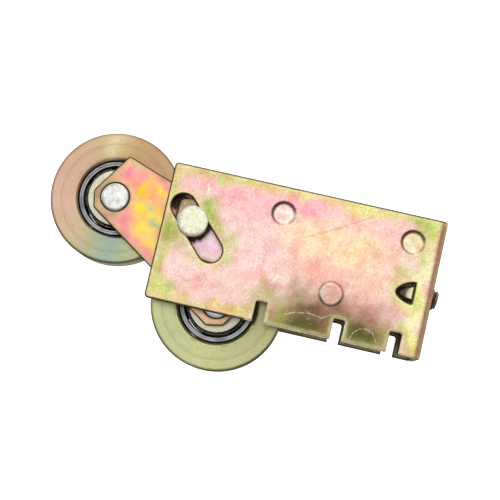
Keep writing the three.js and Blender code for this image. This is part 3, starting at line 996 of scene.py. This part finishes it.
def lance_loop():
    (tx, ty), (bx, by), (ax, ay) = LANCE_TOP, LANCE_BOTTOM, LANCE_APEX
    upper = (ax + 0.3, ay - 0.8)
    lower = (ax + 0.4, ay + 0.8)
    loop = curve((tx, ty), (tx - 3.2, ty + 0.6), upper)
    loop += curve(upper, (ax - 0.3, ay), lower)
    loop += curve(lower, (bx - 2.6, by - 0.1), (bx, by))
    return loop + [(bx, by)]


def mirrored(loop):
    return [(house_total - p, q) for p, q in reversed(loop)]


def housing_outline():
    bottom = []
    for u0, u1 in NOTCHES:
        r = 0.8
        bottom.append((u0, HEIGHT))
        bottom += [(u0, NOTCH_TOP + r)] + arc_points(u0 + r, NOTCH_TOP + r, r, 180, 270, 5)[1:]
        bottom += arc_points(u1 - r, NOTCH_TOP + r, r, 270, 360, 5) + [(u1, HEIGHT)]
    c = CORNER
    left = arc_points(c, HEIGHT - c, c, 180, 90, 6) + bottom
    right = [(house_total - p, q) for p, q in reversed(left)]
    top = arc_points(house_total - c, c, c, 0, -90, 6) + arc_points(c, c, c, 270, 180, 6)
    return left + right + top


def smooth(t):
    t = np.clip(t, 0, 1)
    return t * t * (3 - 2 * t)


def housing_bump(p, q):
    push = np.zeros(len(p))
    for centre_u in (lambda u: u, lambda u: house_total - u):
        for u, v in DIMPLES:
            r = np.hypot(p - centre_u(u), q - v)
            push += 0.85 * smooth((3.62 - r) / 0.85)
        r = np.hypot(p - centre_u(BUTTON[0]), q - BUTTON[1])
        push -= 0.55 * smooth((3.4 - r) / 0.55)
        push += 0.05 * np.exp(-(((r - 3.6) / 0.25) ** 2))
    return push


ring_radii = (0.8, 1.6, 2.4, 2.8, 2.95, 3.05, 3.15, 3.25, 3.35, 3.45, 3.55, 3.65, 3.8, 4.1)
rings = []
for centre in (*DIMPLES, BUTTON):
    rings.append((centre, ring_radii, 72))
    rings.append(((house_total - centre[0], centre[1]), ring_radii, 72))

slot_loop = stadium_loop(*SLOT)
end_hole = circle_loop(house_total / 2, END_HOLE_DROP, END_HOLE_RADIUS, 48)
housing = sheet_metal(
    "housing_shell", housing_outline(),
    [slot_loop, mirrored(slot_loop), lance_loop(), mirrored(lance_loop()), end_hole],
    house_fold, SHEET, housing_paint, spacing=0.8, extra=rings, bump=housing_bump,
    columns=bend_columns(house_arm, house_arc, house_end, house_total),
)
dress(rides(housing, "housing", "housing_plate", "housing"), plate_look)


def lanced_tab(side):
    """The cut-out's own metal, bent inward about its right edge."""
    hinge = LANCE_TOP[0] - LENGTH / 2
    tip = (LANCE_APEX[0] - LENGTH / 2, LANCE_APEX[1])
    top, bottom = LANCE_TOP[1] + TAB_GAP, LANCE_BOTTOM[1] - TAB_GAP
    loop = [
        (hinge + 0.9, bottom), (hinge, bottom), (hinge - 1.9, bottom - 0.35),
        (tip[0] + 0.7, tip[1] + 0.4), (tip[0] + 0.7, tip[1] - 0.4),
        (hinge - 1.9, top + 0.6), (hinge, top), (hinge + 0.9, top),
    ]
    turn = (
        Matrix.Translation((hinge - 0.35, side * (WIDTH / 2 - SHEET / 2 - 0.15), 0))
        @ Matrix.Rotation(side * TAB_BEND, 4, "Z")
        @ Matrix.Translation((-hinge, 0, 0))
    )

    def fold(p, q, depth):
        depth = np.broadcast_to(depth, np.shape(p))
        return np.c_[p, side * (SHEET / 2 - depth), -np.asarray(q)]

    def paint(p, q, gap_to_edge, back):
        # Painted shade: the back face, which faces into the housing, is dark brown.
        colour = np.tile(tone(110, 92, 60) if back else tone(250, 246, 214), (len(p), 1))
        return edge_tint(colour, p, q, gap_to_edge, 13.0, 0.5)

    tab = sheet_metal(
        "tab_front" if side < 0 else "tab_rear", fillet_outline(loop, 0.3), [], fold, SHEET,
        paint, place=turn, spacing=0.5, edge_step=0.3,
    )
    dress(rides(tab, "housing", "housing_plate"), plate_look)
    return tab


for side in (-1, 1):
    lanced_tab(side)

# ---------------------------------------------------------------------------------------------
# Truck plates

TRUCK_OUTLINE = (
    (-23.5, -17.5), (23.5, -17.5), (27.0, -14.0), (27.0, 0.25),
    (2.2, 6.6), (-2.2, 6.6), (-27.0, 0.25), (-27.0, -14.0),
)
GOLD = tone(255, 222, 52)
TRUCK_PATCHES = (
    (-22.4, -2.6, 3.4, 2.0, tone(246, 138, 160), 0.95),
    (-16.0, 2.4, 6.0, 2.2, tone(250, 142, 166), 0.95),
    (-9.0, 4.6, 5.0, 2.0, tone(250, 170, 178), 0.8),
    (-17.0, -3.2, 3.0, 1.7, GOLD, 0.95),
    (-13.0, 0.0, 3.6, 1.4, tone(255, 226, 80), 0.9),
    (-12.2, -2.6, 3.4, 1.0, tone(250, 176, 130), 0.85),
    (-13.8, -7.8, 3.6, 2.4, GOLD, 0.95),
    (-9.0, -6.0, 4.0, 3.0, tone(250, 232, 100), 0.9),
    (-9.8, -10.6, 3.4, 2.2, tone(252, 226, 84), 0.9),
    (-4.8, -13.6, 3.6, 2.2, tone(252, 234, 90), 0.9),
    (-11.4, -6.0, 1.3, 1.0, tone(140, 204, 186), 0.9),
    (-7.8, -8.8, 1.3, 1.2, tone(150, 206, 176), 0.85),
    (-16.4, -13.4, 3.2, 1.9, tone(244, 140, 160), 0.95),
    (-10.0, -15.2, 5.0, 1.7, tone(250, 144, 170), 0.95),
    (-3.0, -16.6, 5.0, 1.3, tone(250, 158, 176), 0.9),
    (-25.0, -13.0, 2.6, 4.6, tone(160, 132, 108), 0.95),
    (-20.6, -16.4, 3.0, 1.6, tone(176, 142, 120), 0.9),
    (-25.6, 0.0, 2.0, 1.8, tone(206, 208, 156), 0.9),
    (8.0, -6.0, 7.0, 6.0, GOLD, 0.6),
    (20.0, -14.5, 5.0, 4.0, tone(226, 178, 160), 0.8),
)


def truck_paint(p, q, gap, back):
    seed = 91.0 if back else 83.0
    colour = paint_patches(p, q, tone(248, 178, 160), TRUCK_PATCHES, seed)
    # Painted shade: the inner face is darkened.
    if back:
        colour = colour * 0.6 + tone(140, 118, 84) * 0.3
    # Painted shade: the plate is near black round the pivot and behind the slot, where it lies in
    # shade between the plates.
    shade_distance = np.minimum(np.hypot(p, q) - 3.0, np.hypot(p + 7.4, q - 1.6))
    colour = mix(colour, tone(40, 30, 22), 0.95 * smooth((3.6 - shade_distance) / 1.4))
    return edge_tint(colour, p, q, gap, seed, 0.9)


def truck_plate(side):
    def fold(p, q, depth):
        depth = np.broadcast_to(depth, np.shape(p))
        return np.c_[p, side * (TRUCK_OUTER - depth), np.asarray(q)]

    holes = [circle_loop(0, 0, PIVOT_HOLE, 48)]
    for s in (-1, 1):
        holes.append(circle_loop(s * AXLE_HALF_PITCH, -AXLE_DROP, AXLE_RADIUS + 0.06, 48))
    plate = sheet_metal(
        "truck_cheek_front" if side < 0 else "truck_cheek_rear",
        fillet_outline(TRUCK_OUTLINE, 0.6), holes, fold, TRUCK_SHEET, truck_paint,
        place=truck_place, spacing=0.9, roll=0.16, roll_width=0.45,
    )
    node = "truck_plate_front" if side < 0 else "truck_plate_rear"
    return dress(rides(plate, "truck", "truck_plate", node), truck_look)


for side in (-1, 1):
    truck_plate(side)

# ---------------------------------------------------------------------------------------------
# Yoke

yoke_fold, yoke_arm, yoke_arc, yoke_end, yoke_total = folded_strip(
    -YOKE_END, WEB_OUT, YOKE_OUTER, YOKE_SHEET, YOKE_BEND, drop=False
)

YOKE_PATCHES = (
    (3.0, 4.5, 5.0, 3.6, tone(160, 152, 120), 0.95),
    (11.0, -4.0, 8.0, 5.0, tone(252, 220, 234), 0.9),
    (22.0, 4.0, 8.0, 4.0, tone(232, 216, 176), 0.6),
)


def yoke_paint(p, q, gap, back):
    colour = paint_patches(p, q, tone(238, 204, 206), YOKE_PATCHES, 41.0)
    # Painted shade: the inner face is darkened.
    if back:
        colour = colour * 0.6 + tone(140, 118, 84) * 0.3
    # Painted shadow: a dark ring round the pin, offset to one side, for the shade beside the pin's
    # head.
    from_pin = np.hypot(p - YOKE_END - 0.4, q + 0.5)
    colour = mix(colour, tone(22, 18, 14), 0.97 * smooth((5.25 - from_pin) / 0.5))
    return edge_tint(colour, p, q, gap, 43.0, 0.7)


yoke_top = [(0.0, 5.4), (0.8, 6.1), (7.9, 8.0), (13.9, 8.0), (24.4, 4.3)]
yoke_bottom = [(0.0, -8.5), (1.2, -9.6), (16.4, -9.6), (27.4, -4.3)]
yoke_loop = (
    yoke_top
    + [(yoke_total - p, q) for p, q in reversed(yoke_top)]
    + [(yoke_total - p, q) for p, q in yoke_bottom]
    + list(reversed(yoke_bottom))
)
yoke_holes = [
    circle_loop(YOKE_END, 0, PIVOT_HOLE, 48),
    circle_loop(yoke_total - YOKE_END, 0, PIVOT_HOLE, 48),
    circle_loop(yoke_total / 2, 0, 2.35, 40),
]
yoke = sheet_metal(
    "yoke_bracket", fillet_outline(yoke_loop, 0.7), yoke_holes, yoke_fold, YOKE_SHEET, yoke_paint,
    place=link_place, spacing=1.0, roll=0.14, roll_width=0.4,
    columns=bend_columns(yoke_arm, yoke_arc, yoke_end, yoke_total),
)
dress(rides(yoke, "yoke", "yoke_plate", "yoke"), yoke_look)

# ---------------------------------------------------------------------------------------------
# Pivot pin, washer and bush

face = WIDTH / 2 + 0.2
pin_profile = [
    (0, -face - 1.2), (1.6, -face - 1.19), (3.2, -face - 1.15), (PIN_HEAD - 0.35, -face - 1.08),
    (PIN_HEAD - 0.1, -face - 0.95), (PIN_HEAD, -face - 0.7), (PIN_HEAD, -face - 0.12),
    (PIN_HEAD - 0.1, -face), (PIN_RADIUS + 0.1, -face), (PIN_RADIUS, -face + 0.1),
    (PIN_RADIUS, face + 1.15), (PIN_RADIUS + 0.72, face + 1.2), (PIN_RADIUS + 0.8, face + 1.4),
    (PIN_RADIUS + 0.55, face + 1.75), (1.9, face + 1.95), (1.2, face + 1.8), (0, face + 1.7),
]
pin_piece = lathe("pivot_rivet", pin_profile, at_pin, closed=False)
dress(rides(pin_piece, "pin", "pin_steel", "pivot_pin"), pin_look)
rear_washer = lathe(
    "pivot_backing_washer", ring_profile(PIN_RADIUS + 0.1, 5.2, face, face + 0.85, 0.15), at_pin
)
dress(rides(rear_washer, "pin", "washer_steel", "pivot_washer"), washer_look)
bush_half = TRUCK_INNER - 0.2
bush = lathe("truck_bush", ring_profile(PIVOT_HOLE, 4.4, -bush_half, bush_half, 0.3), at_pin)
dress(rides(bush, "truck", "washer_steel", "pivot_bush"), washer_look)

# ---------------------------------------------------------------------------------------------
# Wheels

# Colours by direction about the axle: partly the plating's own tint and partly painted reflection
# and shade.
WHEEL_TONES = {
    1: (
        (62, tone(184, 148, 112)), (84, tone(190, 158, 118)), (104, tone(216, 202, 160)),
        (124, tone(200, 172, 136)),
        (160, tone(208, 168, 148)), (195, tone(214, 176, 158)), (228, tone(204, 180, 148)),
        (252, tone(176, 176, 140)), (272, tone(150, 176, 166)), (292, tone(168, 182, 146)),
        (320, tone(190, 168, 124)), (345, tone(186, 158, 120)), (20, tone(178, 146, 112)),
        (44, tone(188, 154, 120)),
    ),
    2: (
        (90, tone(196, 184, 132)), (150, tone(206, 200, 150)), (185, tone(198, 204, 150)),
        (225, tone(188, 196, 146)), (262, tone(198, 200, 146)), (300, tone(186, 190, 142)),
        (340, tone(178, 176, 128)), (30, tone(166, 160, 116)),
    ),
}


def wheel_paint(number):
    """Plating tint and painted reflection and shade by direction about the axle, turning with the
    wheel.
    """
    tilt = math.degrees(TRUCK_TILT)
    marks = sorted((a % 360, c) for a, c in WHEEL_TONES[number])
    angles = np.array([a for a, _ in marks])
    tones = np.array([c for _, c in marks])

    def paint(local):
        a = (np.degrees(np.arctan2(local[:, 2], local[:, 0])) - tilt) % 360
        a = (a + 9 * wander(local[:, 0], local[:, 2], 6.0, 5.0 + number)) % 360
        out = np.empty((len(a), 3))
        for c in range(3):
            out[:, c] = np.interp(a, angles, tones[:, c], period=360)
        r = np.hypot(local[:, 0], local[:, 2])
        # Painted shade at the lip of the bore, beside the bearing.
        out = mix(out, tone(120, 100, 70), np.clip((11.35 - r) / 0.3, 0, 1) * 0.85)
        across = np.abs(local[:, 1])
        # Painted highlight: a pale band round the crown of each flange.
        out = mix(out, tone(236, 228, 196), (r > 18.7) & (across > 2.6) & (across < 3.8))
        # Painted shade: a dark line along the rim's outer corners.
        corner = np.exp(-(((r - 18.95) / 0.24) ** 2)) * (across > 3.8)
        out = mix(out, tone(84, 68, 44), 0.9 * corner)
        return out

    return paint


def wheel_profile():
    y = WHEEL_HALF
    bore = BEARING_RADIUS + 0.06
    half = [
        (bore, -3.62), (bore + 0.1, -3.72), (bore + 0.55, -y + 0.12), (bore + 0.8, -y),
        (12.6, -y), (13.4, -y), (14.4, -y), (15.4, -y), (16.4, -y), (17.4, -y), (18.2, -y),
        (18.55, -y + 0.02), (18.8, -y + 0.14), (18.95, -y + 0.36), (WHEEL_RADIUS, -y + 0.6),
        (18.98, -y + 1.0), (18.82, -y + 1.3), (18.5, -y + 1.55), (17.9, -2.35), (17.1, -1.85),
        (16.4, -1.35), (15.9, -0.9), (15.66, -0.45),
    ]
    other = [(r, -v) for r, v in reversed(half)]
    return half + [(15.6, 0.0)] + other


def take_mesh(bm):
    """The points and faces of a bmesh, which is freed."""
    points = [tuple(v.co) for v in bm.verts]
    faces = [[v.index for v in f.verts] for f in bm.faces]
    bm.free()
    return points, faces


def stake_marks(face_side):
    """The small lips pressed over the bearing from the rim's face."""
    points, faces = [], []
    for i in range(STAKE_COUNT):
        a = math.radians(i * 360 / STAKE_COUNT + 12)
        bm = bmesh.new()
        bmesh.ops.create_cube(bm, size=1.0)
        bmesh.ops.scale(bm, verts=bm.verts, vec=STAKE_SIZE)
        bmesh.ops.bevel(
            bm, geom=list(bm.edges), offset=0.07, segments=3, affect="EDGES", clamp_overlap=True
        )
        shift = Matrix.Rotation(-a + math.pi / 2, 4, "Y") @ Matrix.Translation(
            (0, face_side * (WHEEL_HALF - 0.02), BEARING_RADIUS + 1.0)
        )
        bmesh.ops.transform(bm, matrix=shift, verts=bm.verts)
        lip, lip_faces = take_mesh(bm)
        faces += [[k + len(points) for k in corners] for corners in lip_faces]
        points += lip
    return np.array(points), faces


def groove_arc(radial, steps=14):
    reach = BALL_RADIUS + 0.12
    half = math.sqrt(reach**2 - (RACE_SHOULDERS[radial] - BALL_PITCH) ** 2)
    ys = np.linspace(-half, half, steps)
    return [(BALL_PITCH + radial * math.sqrt(reach**2 - y * y), y) for y in ys]


def outer_race_profile():
    y = BEARING_HALF
    face_in = [
        (BEARING_RADIUS, -y + 0.6), (BEARING_RADIUS - 0.22, -y + 0.2), (BEARING_RADIUS - 0.42, -y),
        (10.22, -y), (10.16, -y + 0.6), (9.96, -y + 0.6), (9.9, -y), (9.55, -y), (9.45, -y + 0.12),
        (9.2, -y + 0.5),
    ]
    other = [(r, -v) for r, v in face_in]
    return face_in + groove_arc(1) + list(reversed(other))


def rim(number, place):
    body, slot = f"wheel_{number}", "wheel_steel"
    turned = lathe(f"{body}_grooved_rim", wheel_profile(), place, 160, wheel_paint(number))
    dress(rides(turned, body, slot, f"{body}_rim"), wheel_look)
    pts, faces = stake_marks(1 if number == 1 else -1)
    lips = np.tile(tone(176, 170, 124), (len(pts), 1))
    stakes = make_object(f"{body}_stakes", pts, faces, pts, lips, place)
    dress(rides(stakes, body, slot), wheel_look)


def races(number, place):
    race = lathe(f"bearing_{number}_outer", outer_race_profile(), place, 144)
    dress(rides(race, f"wheel_{number}", "race_steel", f"wheel_{number}_outer_race"), race_look)
    y = BEARING_HALF
    bore = AXLE_RADIUS + 0.08
    profile = [(bore, -y + 0.15), (bore + 0.15, -y), (5.85, -y), (6.0, -y + 0.15)]
    profile += groove_arc(-1)
    profile += [(6.0, y - 0.15), (5.85, y), (bore + 0.15, y), (bore, y - 0.15)]
    inner = lathe(f"bearing_{number}_inner", profile, place, 96)
    dress(rides(inner, "truck", "race_steel", f"wheel_{number}_inner_race"), race_look)


def axle_and_spacers(number, place):
    end = TRUCK_OUTER + 0.3
    head = [
        (0, -end), (1.2, -end), (3.2, -end + 0.01), (3.62, -end + 0.05), (3.86, -end + 0.17),
        (AXLE_RADIUS, -end + 0.36),
    ]
    profile = head + [(AXLE_RADIUS, 0)] + [(r, -y) for r, y in reversed(head)]
    axle = lathe(f"axle_{number}_rivet", profile, place, 96, closed=False)
    dress(rides(axle, "truck", "axle_steel", f"wheel_{number}_axle"), axle_look)
    near, far = SPACER_FACES
    for word, y0, y1 in (("front", -far, -near), ("rear", near, far)):
        ring = ring_profile(AXLE_RADIUS + 0.1, SPACER_RADIUS, y0, y1, 0.12)
        piece = lathe(f"spacer_{number}_{word}", ring, place, 96)
        dress(rides(piece, "truck", "washer_steel", f"wheel_{number}_washer_{word}"), washer_look)


def wheel(number, side):
    place = wheel_place(side)
    for build in (rim, races, axle_and_spacers, balls, cage):
        build(number, place)


def balls(number, place):
    for i in range(BALL_COUNT):
        a = i * 2 * math.pi / BALL_COUNT
        bm = bmesh.new()
        bmesh.ops.create_icosphere(bm, subdivisions=4, radius=BALL_RADIUS)
        pts, faces = take_mesh(bm)
        centre = Matrix.Translation((BALL_PITCH * math.sin(a), 0, BALL_PITCH * math.cos(a)))
        ball = make_object(f"bearing_{number}_ball_{i + 1}", pts, faces, pts, None, place @ centre)
        node = f"wheel_{number}_ball_{i + 1}"
        dress(rides(ball, f"cage_{number}", "ball_steel", node), ball_look)


def cage(number, place):
    """A band with a round window for each ball and small nicks along both edges."""
    length = 2 * math.pi * CAGE_MIDDLE
    step = length / BALL_COUNT
    wide, high = CAGE_WINDOW
    windows = [
        [((i + 0.5) * step + wide * x, high * y) for x, y in circle_loop(0, 0, 1.0, 40)]
        for i in range(BALL_COUNT)
    ]
    edge = []
    for i in range(BALL_COUNT):
        start = i * step
        for a, b in ((start, start + step / 2), (start + step / 2, start + step)):
            if a == start:
                edge.append((start, CAGE_EDGE))
            edge += [(a + 0.35, CAGE_EDGE), (a + 0.5, CAGE_LUG),
                     (b - 0.5, CAGE_LUG), (b - 0.35, CAGE_EDGE)]
    edge.append((length, CAGE_EDGE))
    loop = edge + [(p, -q) for p, q in reversed(edge)]

    def fold(p, q, depth):
        a = (np.asarray(p) - 0.5 * step) / CAGE_MIDDLE
        r = CAGE_RADIUS - np.broadcast_to(depth, np.shape(p))
        return np.c_[r * np.sin(a), np.asarray(q), r * np.cos(a)]

    def paint(p, q, gap, back):
        return np.tile(tone(150, 148, 136), (len(p), 1))

    band = sheet_metal(
        f"bearing_{number}_cage", loop, windows, fold, 0.5, paint, place=place, spacing=0.7,
        edge_step=0.4, roll=0.05, roll_width=0.2,
    )
    dress(rides(band, f"cage_{number}", "cage_steel", f"wheel_{number}_ball_cage"), cage_look)
    crown = ring_profile(CROWN_INNER, CROWN_OUTER, *CROWN_REAR, 0.12)
    flange = lathe(f"bearing_{number}_cage_crown", crown, place, 96)
    # The crown takes the balls' dark olive, which is painted shade.
    dress(rides(flange, f"cage_{number}", "cage_steel"), ball_look)


wheel(1, -1)
wheel(2, 1)

# ---------------------------------------------------------------------------------------------
# Adjusting screw, its retaining washer and the nut

along = Matrix.Rotation(-math.pi / 2, 4, "Z")
SCREW_ANGLES = np.arange(56) * 2 * math.pi / 56


def thread_rows():
    """The (x, radius by direction) rows of the screw, from its riveted neck to its tip."""
    steps = 8
    start, end = WEB_OUT + 0.3, SCREW_TIP
    rows = [(WEB_AT - 1.6, 0.0), (WEB_AT - 1.62, 1.4), (WEB_AT - 1.6, 2.4), (WEB_AT - 1.45, 2.8),
            (WEB_AT - 1.2, 2.9), (WEB_AT - 1.1, 2.7), (WEB_AT - 1.08, NECK_RADIUS),
            (WEB_OUT + 0.22, NECK_RADIUS), (start, 2.5)]
    count = int((end - start - 0.4) / SCREW_PITCH * steps)
    for x in start + 0.2 + np.arange(count) * SCREW_PITCH / steps:
        phase = (x / SCREW_PITCH - SCREW_ANGLES / (2 * math.pi)) % 1.0
        tooth = np.clip(1.25 - np.abs(phase - 0.5) * 2.6, 0, 1)
        fade = min(1.0, (x - start) / 1.0, (end - x) / 0.9 + 0.15)
        r = SCREW_RADIUS - THREAD_DEPTH + THREAD_DEPTH * tooth * max(fade, 0)
        rows.append((x, np.minimum(r, SCREW_RADIUS - max(0.0, 0.75 - (end - x)))))
    return rows + [(end - 0.05, 2.25), (end, 2.0), (end, 1.0), (end, 0.0)]


def cut_driver_slot(piece):
    """Cuts the screwdriver slot across the screw's tip."""
    bm = bmesh.new()
    bmesh.ops.create_cube(bm, size=1.0)
    bmesh.ops.scale(bm, verts=bm.verts, vec=(3.0, 1.05, 9.0))
    bmesh.ops.translate(bm, verts=bm.verts, vec=(SCREW_TIP, 0, 0))
    bmesh.ops.transform(bm, matrix=Matrix.Scale(MM, 4) @ link_place, verts=bm.verts)
    mesh = bpy.data.meshes.new("slot_cutter")
    bm.to_mesh(mesh)
    bm.free()
    cutter = bpy.data.objects.new("slot_cutter", mesh)
    bpy.context.scene.collection.objects.link(cutter)
    modifier = piece.modifiers.new("driver_slot", "BOOLEAN")
    modifier.operation = "DIFFERENCE"
    modifier.object = cutter
    modifier.solver = "EXACT"
    graph = bpy.context.evaluated_depsgraph_get()
    piece_mesh = bpy.data.meshes.new_from_object(piece.evaluated_get(graph))
    piece.modifiers.clear()
    piece.data = piece_mesh
    bpy.data.objects.remove(cutter)
    piece_mesh.set_sharp_from_angle(angle=math.radians(50))


def screw_piece():
    """A threaded rod: plain riveted neck at the yoke, then a helical thread to a chamfered tip."""
    segments = len(SCREW_ANGLES)
    across, upward = np.sin(SCREW_ANGLES), np.cos(SCREW_ANGLES)
    points = [np.c_[np.full(segments, x), r * across, r * upward] for x, r in thread_rows()]
    faces = []
    for k in range(len(points) - 1):
        for i in range(segments):
            j = (i + 1) % segments
            faces.append((k * segments + i, k * segments + j,
                          (k + 1) * segments + j, (k + 1) * segments + i))
    pts = np.concatenate(points)
    piece = make_object("adjuster_screw", pts, faces, pts, None, link_place, sharp=50)
    cut_driver_slot(piece)
    return piece


screw = screw_piece()
dress(rides(screw, "screw", "screw_steel", "adjusting_screw"), screw_look)
retainer = lathe(
    "screw_end_washer", ring_profile(2.3, 3.7, WEB_AT - 0.9, WEB_AT - 0.25, 0.12), link_place,
    turn=along,
)
dress(rides(retainer, "screw", "washer_steel", "screw_retainer"), washer_look)

nut_distance = math.hypot(nut_x - pin_x, nut_z - pin_z)


def nut_fold(p, q, depth):
    depth = np.broadcast_to(depth, np.shape(p))
    return np.c_[nut_distance + 1.3 - depth, np.asarray(p), np.asarray(q)]


def nut_paint(p, q, gap, back):
    return np.tile(tone(206, 182, 128), (len(p), 1))


nut_loop = fillet_outline([(-8.2, -4.3), (8.2, -4.3), (8.2, 4.3), (-8.2, 4.3)], 0.8)
nut = sheet_metal(
    "plate_nut", nut_loop, [circle_loop(0, 0, SCREW_RADIUS + 0.08, 48)], nut_fold, 2.6, nut_paint,
    place=link_place, spacing=1.0, roll=0.15, roll_width=0.4,
)
dress(rides(nut, "nut", "nut_steel", "captive_nut"), nut_look)

# ---------------------------------------------------------------------------------------------
# Floor, light and camera

FLOOR_Z = -0.118
SKY_LOW = 0.10
SKY_HIGH = 0.6
FLAT_RADIUS = 1.3
SWEEP_RADIUS = 1.2
FLOOR_SIDES = 64
floor_rows = [(0.0, 0.0), (FLAT_RADIUS, 0.0)]
floor_rows += [
    (FLAT_RADIUS + SWEEP_RADIUS * math.sin(a), SWEEP_RADIUS * (1 - math.cos(a)))
    for a in np.linspace(0, math.pi / 2, 12)[1:]
]
floor_rows.append((FLAT_RADIUS + SWEEP_RADIUS, 4.0))
around = np.arange(FLOOR_SIDES) * 2 * math.pi / FLOOR_SIDES
verts = [(r * math.cos(a), r * math.sin(a), FLOOR_Z + z) for r, z in floor_rows for a in around]
quads = []
for k in range(len(floor_rows) - 1):
    below, above = k * FLOOR_SIDES, (k + 1) * FLOOR_SIDES
    for i in range(FLOOR_SIDES):
        j = (i + 1) % FLOOR_SIDES
        quads.append((below + i, below + j, above + j, above + i))
floor_mesh = bpy.data.meshes.new("studio_floor")
floor_mesh.from_pydata(verts, [], quads)
for polygon in floor_mesh.polygons:
    polygon.use_smooth = True
floor = bpy.data.objects.new("studio_floor", floor_mesh)
bpy.context.scene.collection.objects.link(floor)
paper = Nodes("studio_paper")
fibre = paper.noise(paper.add("ShaderNodeTexCoord").outputs["Object"], 400.0, 2.0)
paper.shader.inputs["Emission Color"].default_value = (1, 1, 1, 1)
paper.shader.inputs["Emission Strength"].default_value = 0.8
dress(floor, paper.finish(
    paper.mix(paper.level(fibre, 0.3, 0.7), (0.94, 0.94, 0.94), (0.97, 0.97, 0.97)), 0.9, 0.0))
floor.visible_diffuse = False
floor.visible_glossy = False
floor.visible_shadow = False
floor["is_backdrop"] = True

world = bpy.data.worlds.new("studio")
bpy.context.scene.world = world
world.use_nodes = True
sky = world.node_tree
sky_place = sky.nodes.new("ShaderNodeTexCoord")
sky_split = sky.nodes.new("ShaderNodeSeparateXYZ")
sky_level = sky.nodes.new("ShaderNodeMapRange")
sky.links.new(sky_place.outputs["Generated"], sky_split.inputs[0])
sky.links.new(sky_split.outputs["Z"], sky_level.inputs["Value"])
sky_level.inputs["From Min"].default_value = -0.55
sky_level.inputs["From Max"].default_value = 0.65
sky_level.inputs["To Min"].default_value = SKY_LOW
sky_level.inputs["To Max"].default_value = SKY_HIGH
sky.links.new(sky_level.outputs["Result"], sky.nodes["Background"].inputs["Strength"])
sky.nodes["Background"].inputs["Color"].default_value = (1.0, 1.0, 1.0, 1.0)


def softbox(name, place, aim, size, radiance):
    """A flat lamp of the given brightness, whatever its size."""
    light = bpy.data.lights.new(name, "AREA")
    light.shape = "RECTANGLE"
    light.size, light.size_y = size
    light.energy = radiance * math.pi * size[0] * size[1]
    lamp = bpy.data.objects.new(name, light)
    bpy.context.scene.collection.objects.link(lamp)
    lamp.location = place
    lamp.visible_camera = False
    lamp.rotation_euler = (Vector(aim) - Vector(place)).to_track_quat("-Z", "Y").to_euler()
    return lamp


MIDDLE_OF_PART = (-0.015, 0.0, -0.02)
LAMPS = (
    ("front_panel", (0.0, -0.75, 0.10), (0.9, 0.7), 0.92),
    ("top_panel", (-0.2, -0.35, 0.75), (0.6, 0.4), 1.5),
    ("left_panel", (-0.75, -0.2, 0.05), (0.5, 0.5), 1.0),
    ("right_panel", (0.75, 0.1, 0.15), (0.5, 0.5), 0.7),
    ("back_panel", (0.0, 0.75, 0.12), (0.9, 0.6), 0.85),
    ("bounce_card", (0.0, -0.25, -0.6), (0.7, 0.5), 0.6),
)
for name, place, size, radiance in LAMPS:
    softbox(name, place, MIDDLE_OF_PART, size, radiance)

CAMERA_AZIMUTH = math.radians(2.66)
CAMERA_ELEVATION = math.radians(-6.57)
CAMERA_ROLL = math.radians(13.05)
CAMERA_DISTANCE = 0.3605
CAMERA_TARGET = Vector((-0.01386, 0.0, -0.01888))
CAMERA_LENS = 89.57

camera_data = bpy.data.cameras.new("camera")
camera_data.lens = CAMERA_LENS
camera_data.sensor_width = 36.0
camera_data.clip_start = 0.01
camera = bpy.data.objects.new("camera", camera_data)
bpy.context.scene.collection.objects.link(camera)
back = Vector((
    math.sin(CAMERA_AZIMUTH) * math.cos(CAMERA_ELEVATION),
    -math.cos(CAMERA_AZIMUTH) * math.cos(CAMERA_ELEVATION),
    math.sin(CAMERA_ELEVATION),
))
right = Vector((math.cos(CAMERA_AZIMUTH), math.sin(CAMERA_AZIMUTH), 0.0))
up = back.cross(right)
rolled_right = right * math.cos(CAMERA_ROLL) + up * math.sin(CAMERA_ROLL)
rolled_up = up * math.cos(CAMERA_ROLL) - right * math.sin(CAMERA_ROLL)
turn = Matrix((rolled_right, rolled_up, back)).transposed().to_4x4()
camera.matrix_world = Matrix.Translation(CAMERA_TARGET + back * CAMERA_DISTANCE) @ turn
bpy.context.scene.camera = camera
bpy.context.scene.view_settings.view_transform = "Standard"

bpy.context.view_layer.update()
boxes = {
    name: [[float(c) for c in corner] for corner in box]
    for name, box in (("cad", cad_box), ("visual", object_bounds()))
}
